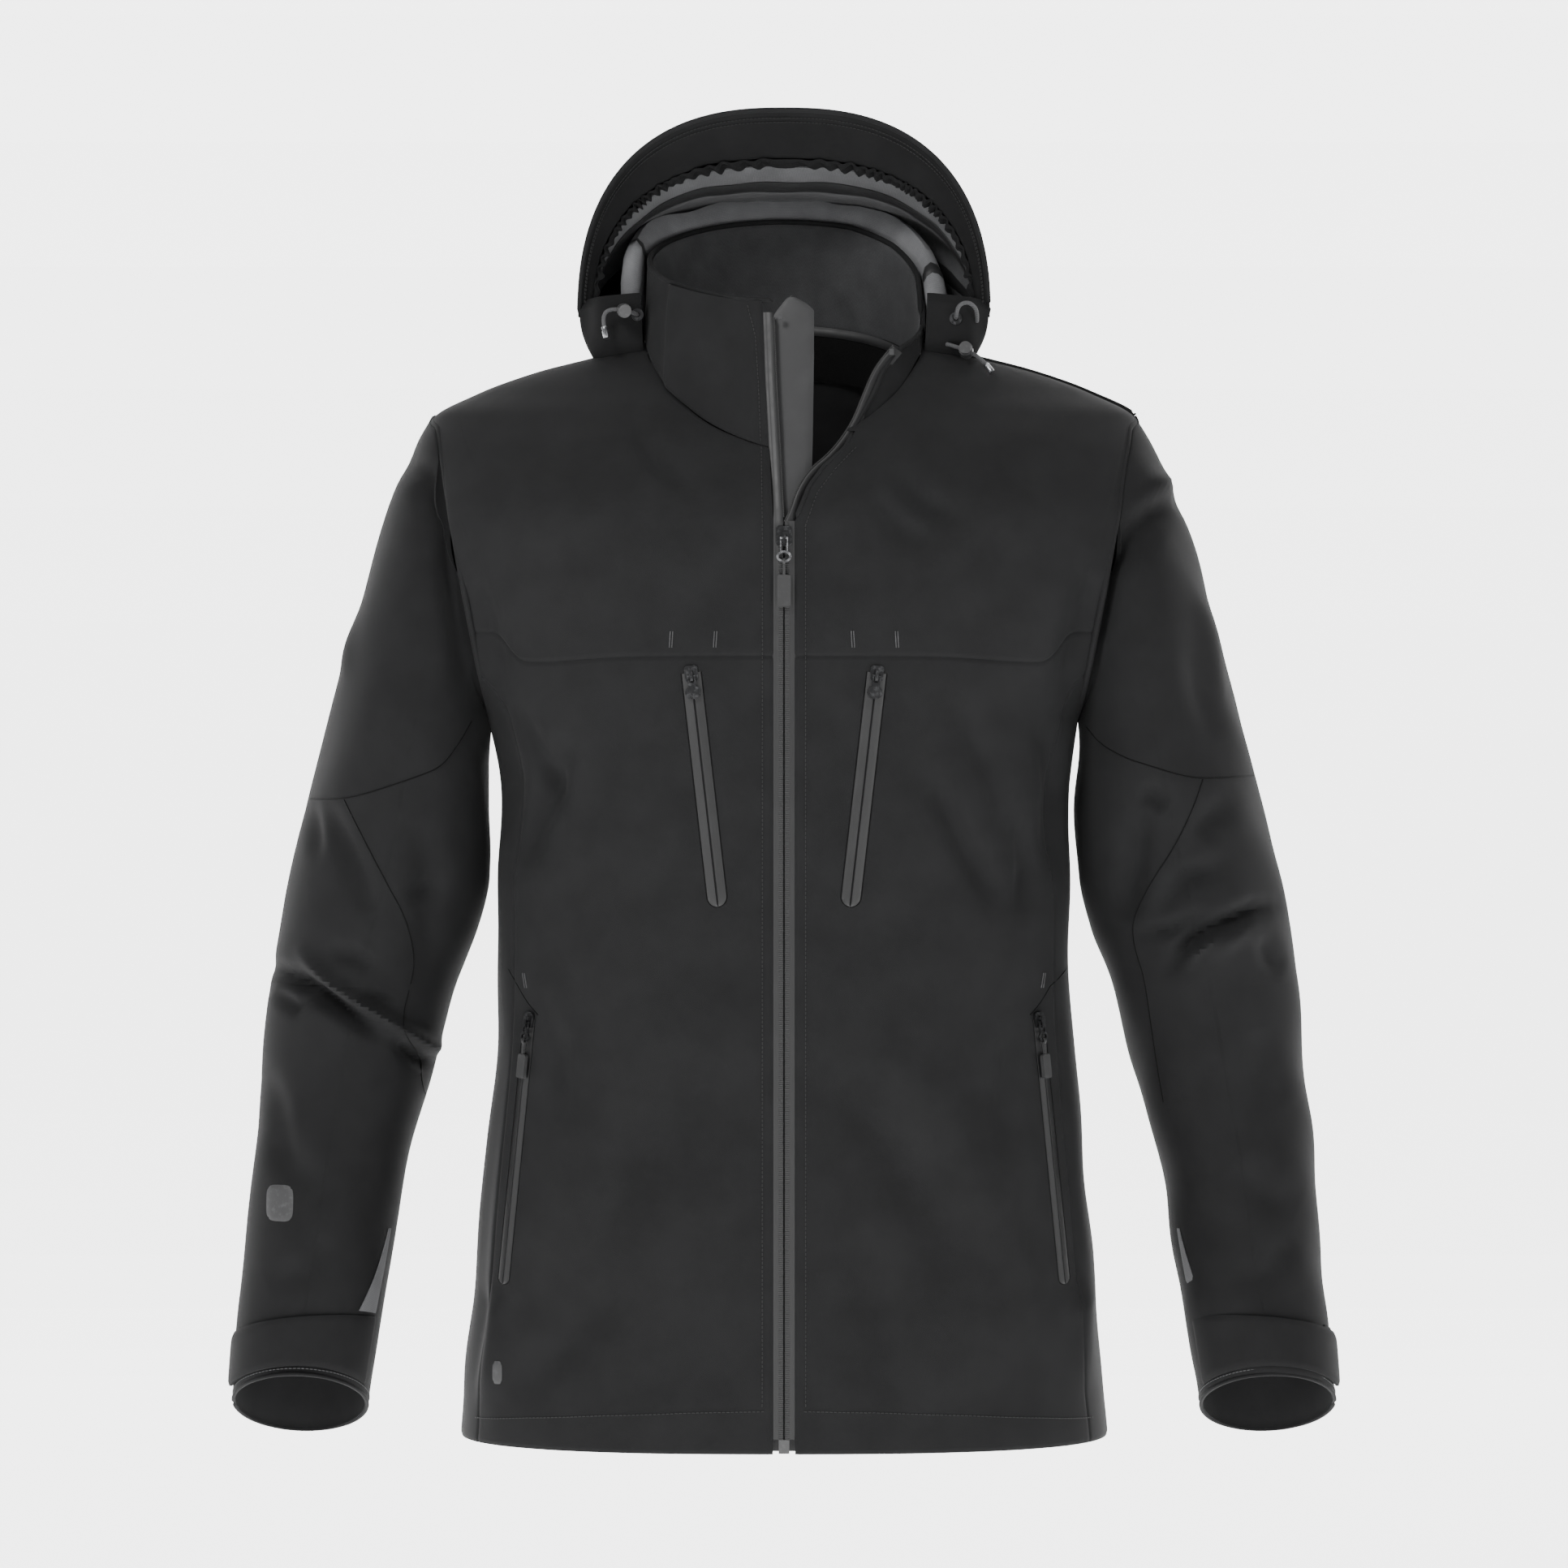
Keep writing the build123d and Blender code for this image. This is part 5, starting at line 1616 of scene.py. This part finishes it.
def main_zip():
    right = cloth("zip_tape_right", tape_rows(-1, HEM_Z + 9.6, 8.0), COATED, 0.7,
                  NECK_AXIS, drop=0.0, slot="coated_tape")
    left = cloth("zip_tape_left", tape_rows(1, HEM_Z + 9.6, OPEN_Z, 220), COATED, 0.7,
                 NECK_AXIS, drop=0.0, slot="coated_tape")
    smooth = rounded([(x, y, z) for z, x, y in LEFT_COIL], 3)
    rows = []
    for out, back in ((0.0, 0.2), (0.9, -0.5), (2.4, -0.7), (4.2, -0.2), (6.6, 0.9), (8.2, 2.6)):
        rows.append([(x + out * 0.8, y + back, z - out * 0.55) for x, y, z in smooth])
    open_tape = cloth("zip_tape_open", rows, COATED, 0.8, (200, 200, -400), drop=0.0,
                      slot="coated_tape")
    ridges = []
    for side in (-1, 1):
        ridges.append([(side * 2.15, front_face(z) - 0.36, z)
                       for z in between(HEM_Z + 10, OPEN_Z - 3, 40)])
    coil = RIDGE.made("coil_ridges", path_object(ridges), {"Pitch": 1.35 * MM, "Width": 2.9 * MM,
                                                           "Thick": 0.72 * MM})
    parting = SEAM_LINE.made("zip_parting", path_object(
        [[(0.0, front_face(z) + 0.55, z) for z in between(HEM_Z + 10, OPEN_Z, 40)]]),
        {"Thick": 0.9 * MM})
    teeth = [[(-0.1 - line_at(RIGHT_SHIFT, z), front_face(z) + 0.4, z)
              for z in between(OPEN_Z + 3, 4, 30)], smooth]
    beads = TOOTH.made("open_teeth", path_object(teeth), {"Pitch": 1.4 * MM, "Thick": 1.7 * MM})
    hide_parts("main_zip_right")
    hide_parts("main_zip_left")
    for piece in (right, left, open_tape, coil, parting, beads):
        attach(piece, "torso")


def storm_flap():
    """The film-faced flap behind the zip, which stands up as a chin guard."""
    edges = [(HEM_Z + 1.5, -13, 15), (OPEN_Z, -13, 17), (-84, -14.5, 19), (-20, -16, 20),
             (-9.7, -16.4, 20), (0.8, -10.6, 20.1), (10.2, -4.6, 20), (14.6, -1.2, 15.5),
             (18.6, 2.0, 8.6), (20.0, 4.0, 5.2)]
    keys = [e[0] for e in edges]
    heights = between(keys[0], -30, 60)[:-1] + between(-30, 20, 40)
    rows = []
    for z in heights:
        i = min(max(bisect.bisect_right(keys, z) - 1, 0), len(keys) - 2)
        t = (z - keys[i]) / (keys[i + 1] - keys[i])
        x0, x1 = lerp(edges[i][1], edges[i + 1][1], t), lerp(edges[i][2], edges[i + 1][2], t)
        y = line_at(FRONT_LINE, min(z, 15)) + 6.4
        rows.append([(lerp(x0, x1, u), y - 0.8 * sin(u * pi), z) for u in steps(30, 2.4, (0.5,))])
    flap = cloth("chin_flap", rows, FLAP_FILM, 1.3, (0, 0, None), drop=0.5, slot="coated_tape")
    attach(flap, "torso")
    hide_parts("storm_flap")


main_zip()
storm_flap()


# ---------------------------------------------------------------- pocket zips
def strip_outline(top, low, half, sign, count=12):
    """A round-ended outline in (x, z) about a pocket zip, starting at its upper end."""
    a, b = Vector((sign * top[0], top[1])), Vector((sign * low[0], low[1]))
    way = (b - a).normalized()
    side = Vector((-way.y, way.x))
    path = [a + side * half]
    for i in range(count + 1):
        turn = pi * i / count
        path.append(b + side * half * cos(turn) + way * half * sin(turn))
    path.append(a - side * half)
    return [tuple(p) for p in path]


def pocket_width(name):
    """How wide a pocket zip looks from in front: the body turns away under the hand zip."""
    return POCKET_HALF if name == "chest" else POCKET_HALF * 0.6


def pocket_tapes(name, sign):
    top, low = POCKETS[name]
    a, b = Vector((sign * top[0], top[1])), Vector((sign * low[0], low[1]))
    length = (b - a).length
    way = (b - a).normalized()
    side = Vector((-way.y, way.x))
    half = pocket_width(name) - 0.2
    rows = []
    for v in steps(length + half, 2.4, (0.4, 1.0, 1.8, 3.0)):
        far = v * (length + half)
        over = max(0.0, far - length)
        wide = half * (max(0.0, 1 - (over / half) ** 2) ** 0.5 if over else 1)
        wide = max(wide, 0.25)
        row = []
        for u in (-1, -0.93, -0.6, -0.36, -0.1, -0.035, 0.035, 0.1, 0.36, 0.6, 0.93, 1):
            spot = a + way * far + side * wide * u
            hit = FRONT.under(spot.x, spot.y)
            up = 0.25 + 0.45 * (0.06 < abs(u) < 0.5) - 0.55 * (abs(u) < 0.05)
            up -= 0.5 * (abs(u) > 0.98)
            p = hit[0] / MM + hit[1] * up
            row.append(tuple(p))
        rows.append(row)
    return rows


def pocket_zips():
    outlines = []
    for name in POCKETS:
        for sign, side in ((1, "left"), (-1, "right")):
            tape = cloth(f"{name}_tape_{side}", pocket_tapes(name, sign), COATED, 0.6,
                         away=(sign * 60, 100, None), drop=0.0, slot="coated_tape")
            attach(tape, "torso")
            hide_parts(f"{name}_zip_tapes")
            half = pocket_width(name)
            outlines.append(FRONT.lay(strip_outline(*POCKETS[name], half, sign), 3, -0.15))
    edge = seam("pocket_edges", outlines, 0.95)
    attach(edge, "torso")


pocket_zips()


# ---------------------------------------------------------------- seams and stitching
def mirror_x(lines):
    return [[(-x, z) for x, z in line] for line in lines]


def body_stitching():
    zip_rows = []
    for x in (-14.2, 14.2):
        zip_rows.append(FRONT.lay([(x, -712), (x, -400), (x, -136)], 6, 0.12))
    zip_rows.append(FRONT.lay([(-14.2, -136), (-15, -84)], 4, 0.12))
    zip_rows.append(NECK.lay([(-15.5, -78), (-17, -40), (-19, -8), (-24, 12)], 4, 0.15))
    zip_rows.append(FRONT.lay([(14.2, -136), (22, -114), (34, -98), (47, -84)], 3, 0.12))
    hem = [(14, -716), (60, -717), (120, -720), (170, -724), (205, -728)]
    zip_rows += [FRONT.lay(line, 5, 0.12) for line in (hem, mirror_x([hem])[0])]
    tacks = []
    for x, tilt in ((53.5, 1), (82.5, -1)):
        for near in (-0.8, 0.8):
            for sign in (-1, 1):
                x0 = sign * (x - 8 + near)
                tacks.append(FRONT.lay([(x0, -216), (x0 - sign * 0.6, -206)], 2, 0.2))
    for sign in (-1, 1):
        for near in (-0.7, 0.7):
            tacks.append(FRONT.lay([(sign * (173 + near), -432), (sign * (171.5 + near), -441)],
                                   2, 0.2))
    rows = stitches("body_stitching", zip_rows, DARK_STITCH, thick=0.75)
    bars = stitches("corner_tacks", tacks, pitch=0.8, length=0.7, thick=0.8)
    garage = [[(-177, -441), (-170, -452), (-163, -459)], [(177, -441), (170, -452), (163, -459)],
              [(-177, -441), (-184, -430)], [(177, -441), (186, -434), (196, -424)]]
    lines = seam("pocket_garage", [FRONT.lay(rounded(g), 2, -0.1) for g in garage])
    for piece in (rows, bars, lines):
        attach(piece, "torso")


def collar_stitching():
    rows = []
    for down in (0.05, 0.085):
        rows.append([collar(a, top_of(a) - down, 3.95 - 1.2) for a in between(100, 300, 120)])
    rim = stitches("collar_stitching", rows, pitch=2.4, length=1.6)
    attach(rim, "torso")
    edges = []
    for turn, inward in ((-0.6, 0.25), (0.9, 0.25)):
        _, half, reach = smooth_row(BRIM, turn)
        edges.append([hood(turn, a, half - 1.1, reach - 1.1) for a in between(4, 176, 150)])
    brim = stitches("brim_stitching", edges, DARK_STITCH, pitch=2.6, length=1.8)
    hood_blend(brim)


ARM_SEAMS = {
    "right": [
        [(-326, -316), (-293.6, -316.5), (-269.5, -310), (-240, -300), (-227, -294), (-216, -278),
         (-209, -264)],
        [(-293.6, -316.5), (-282, -339), (-263, -375), (-253, -394), (-248, -414), (-247.5, -430),
         (-251.5, -446), (-255, -459), (-254, -473), (-246, -490), (-245, -504), (-243, -520)]],
    "left": [
        [(320, -300), (279, -303), (262, -300), (243, -294), (227, -289), (211, -279.5),
         (203, -268)],
        [(279, -303), (272, -323), (259.4, -349), (246.4, -368.5), (236.8, -388), (233, -401),
         (235, -417), (241.5, -436), (246.4, -468.6), (251, -498), (255, -520)]],
}


def arm_seams():
    for side, sign in (("left", 1), ("right", -1)):
        upper, lower = [], []
        for line in ARM_SEAMS[side]:
            points = ARMS.lay(rounded(line), 3, 0.0)
            above = [p for p in points if p[2] >= -441.5]
            below = [p for p in points if p[2] <= -440.5]
            upper.append(above)
            if len(below) > 2:
                lower.append(below)
        high = seam(f"arm_seams_{side}", upper, 1.0)
        sleeve_blend(high)
        low = seam(f"forearm_seams_{side}", lower, 1.0)
        elbow_blend(low)
        ring = sleeve_rows([11.9], between(0, 360, 90), sign, -0.1)
        sewn = stitches(f"cuff_stitching_{side}", ring)
        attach(sewn, f"forearm_{side}")


body_stitching()
collar_stitching()
arm_seams()


# ---------------------------------------------------------------- labels and hidden pieces
def plain_label(name, x, z, wide, tall, surfaces, body, lift=0.5):
    """A plain moulded label with rounded corners, pressed on the cloth."""
    rows = []
    for v in between(-1, 1, 14):
        row = []
        for u in between(-1, 1, 10):
            bulge = max(abs(u) ** 4 + abs(v) ** 4, 1e-6)
            squeeze = (max(abs(u), abs(v), 1e-6) / bulge ** 0.25)
            spot = (x + u * wide / 2 * squeeze, z + v * tall / 2 * squeeze)
            hit = surfaces.under(*spot)
            row.append(tuple(hit[0] / MM + hit[1] * lift))
        rows.append(row)
    piece = cloth(name, rows, LABEL, 0.9, away=(x * 0.6, 60, z), drop=0.35, slot="tab_rubber")
    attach(piece, body)


def labels():
    plain_label("arm_label", -337, -586, 19, 24, ARMS, "forearm_right")
    plain_label("hem_label", -190, -696, 6.5, 15, FRONT, "torso")


def pocket_bags():
    for number, (z0, z1, x0, x1, inset) in enumerate(((-400, -236, 22, 130, 9.0),
                                                      (-700, -440, 60, 150, 12.0))):
        for sign, side in ((1, "left"), (-1, "right")):
            rows = []
            for z in between(z0, z1, 40):
                angles = between(angle_at(x0, z), angle_at(x1, z), 26)
                rows.append(sided((torso(a, z, inset) for a in angles), sign))
            bag = cloth(f"pocket_bag_{number + 1}_{side}", rows, NET, 1.2, slot="pocket_mesh",
                        relief=lambda p, n: soft(p, 71, 60, 0.6))
            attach(bag, "torso")
            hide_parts("pocket_bags")


def hanging_loop():
    rows = [[(21 * u, 15.0 * u * u + 0.2, z) for u in between(-1, 1, 40)]
            for z in between(0, 6, 8)]
    loop = cloth("hanging_loop", rows, WEBBING, 1.2, (0, 60, None), slot="webbing", drop=0.2)
    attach(loop, "torso")
    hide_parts("hanger_loop")


labels()
pocket_bags()
hanging_loop()


# ---------------------------------------------------------------- hardware
def paint(material, *nodes):
    """A carried-over solid takes its finish."""
    for node in nodes:
        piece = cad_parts[node]
        piece.data.materials.clear()
        piece.data.materials.append(material)


def both(name):
    return (f"{name}_left", f"{name}_right")


def hardware():
    paint(DARK_METAL, "main_slider", *both("chest_slider"), *both("hand_slider"),
          *both("hand_puller"), *both("chest_puller"), "hood_eyelets")
    paint(BRIGHT_METAL, "main_puller")
    paint(RUBBER, "main_tab", *both("hand_tab"))
    paint(MOULDING, *both("cord_lock"), *both("cord_button"), "main_zip_ends")


hardware()


# ---------------------------------------------------------------- studio
def studio():
    floor = Finish("studio paper", Roughness=0.9, Specular_IOR_Level=0.1)
    tone = floor.grain(3, 2)
    floor.colour(floor.blend(tone, (0.80, 0.80, 0.80), (0.82, 0.82, 0.82)))
    floor.shader.inputs["Emission Color"].default_value = (1, 1, 1, 1)
    floor.shader.inputs["Emission Strength"].default_value = 3.0
    mesh = bmesh.new()
    profile = [(-9.0, -1.05), (3.0, -1.05)]
    profile += [(3.0 + 2.0 * sin(radians(a)), -1.05 + 2.0 * (1 - cos(radians(a))))
                for a in range(6, 91, 6)]
    profile += [(5.0, 9.0)]
    left = [mesh.verts.new((-9, y, z)) for y, z in profile]
    right = [mesh.verts.new((9, y, z)) for y, z in profile]
    for i in range(len(profile) - 1):
        mesh.faces.new((left[i], right[i], right[i + 1], left[i + 1]))
    data = bpy.data.meshes.new("backdrop")
    mesh.to_mesh(data)
    mesh.free()
    data.materials.append(floor.material)
    backdrop = new_object("backdrop", data)
    world = bpy.data.worlds.new("studio")
    world.use_nodes = True
    world.node_tree.nodes["Background"].inputs[0].default_value = (1, 1, 1, 1)
    world.node_tree.nodes["Background"].inputs[1].default_value = 0.28
    bpy.context.scene.world = world
    lamps = (("key", (-1.7, -2.6, 2.3), (0, 0, -0.3), 1.2, 120),
             ("fill", (2.6, -2.4, 0.3), (0, 0, -0.35), 2.0, 16),
             ("top", (0.2, -0.3, 2.6), (0, -0.1, -0.3), 1.8, 30))
    for name, place, target, size, power in lamps:
        lamp = bpy.data.lights.new(name, "AREA")
        lamp.shape = "DISK"
        lamp.size, lamp.energy = size, power
        light = new_object(name, lamp)
        light.location = place
        aim = Vector(target) - Vector(place)
        light.rotation_euler = aim.to_track_quat("-Z", "Y").to_euler()


studio()
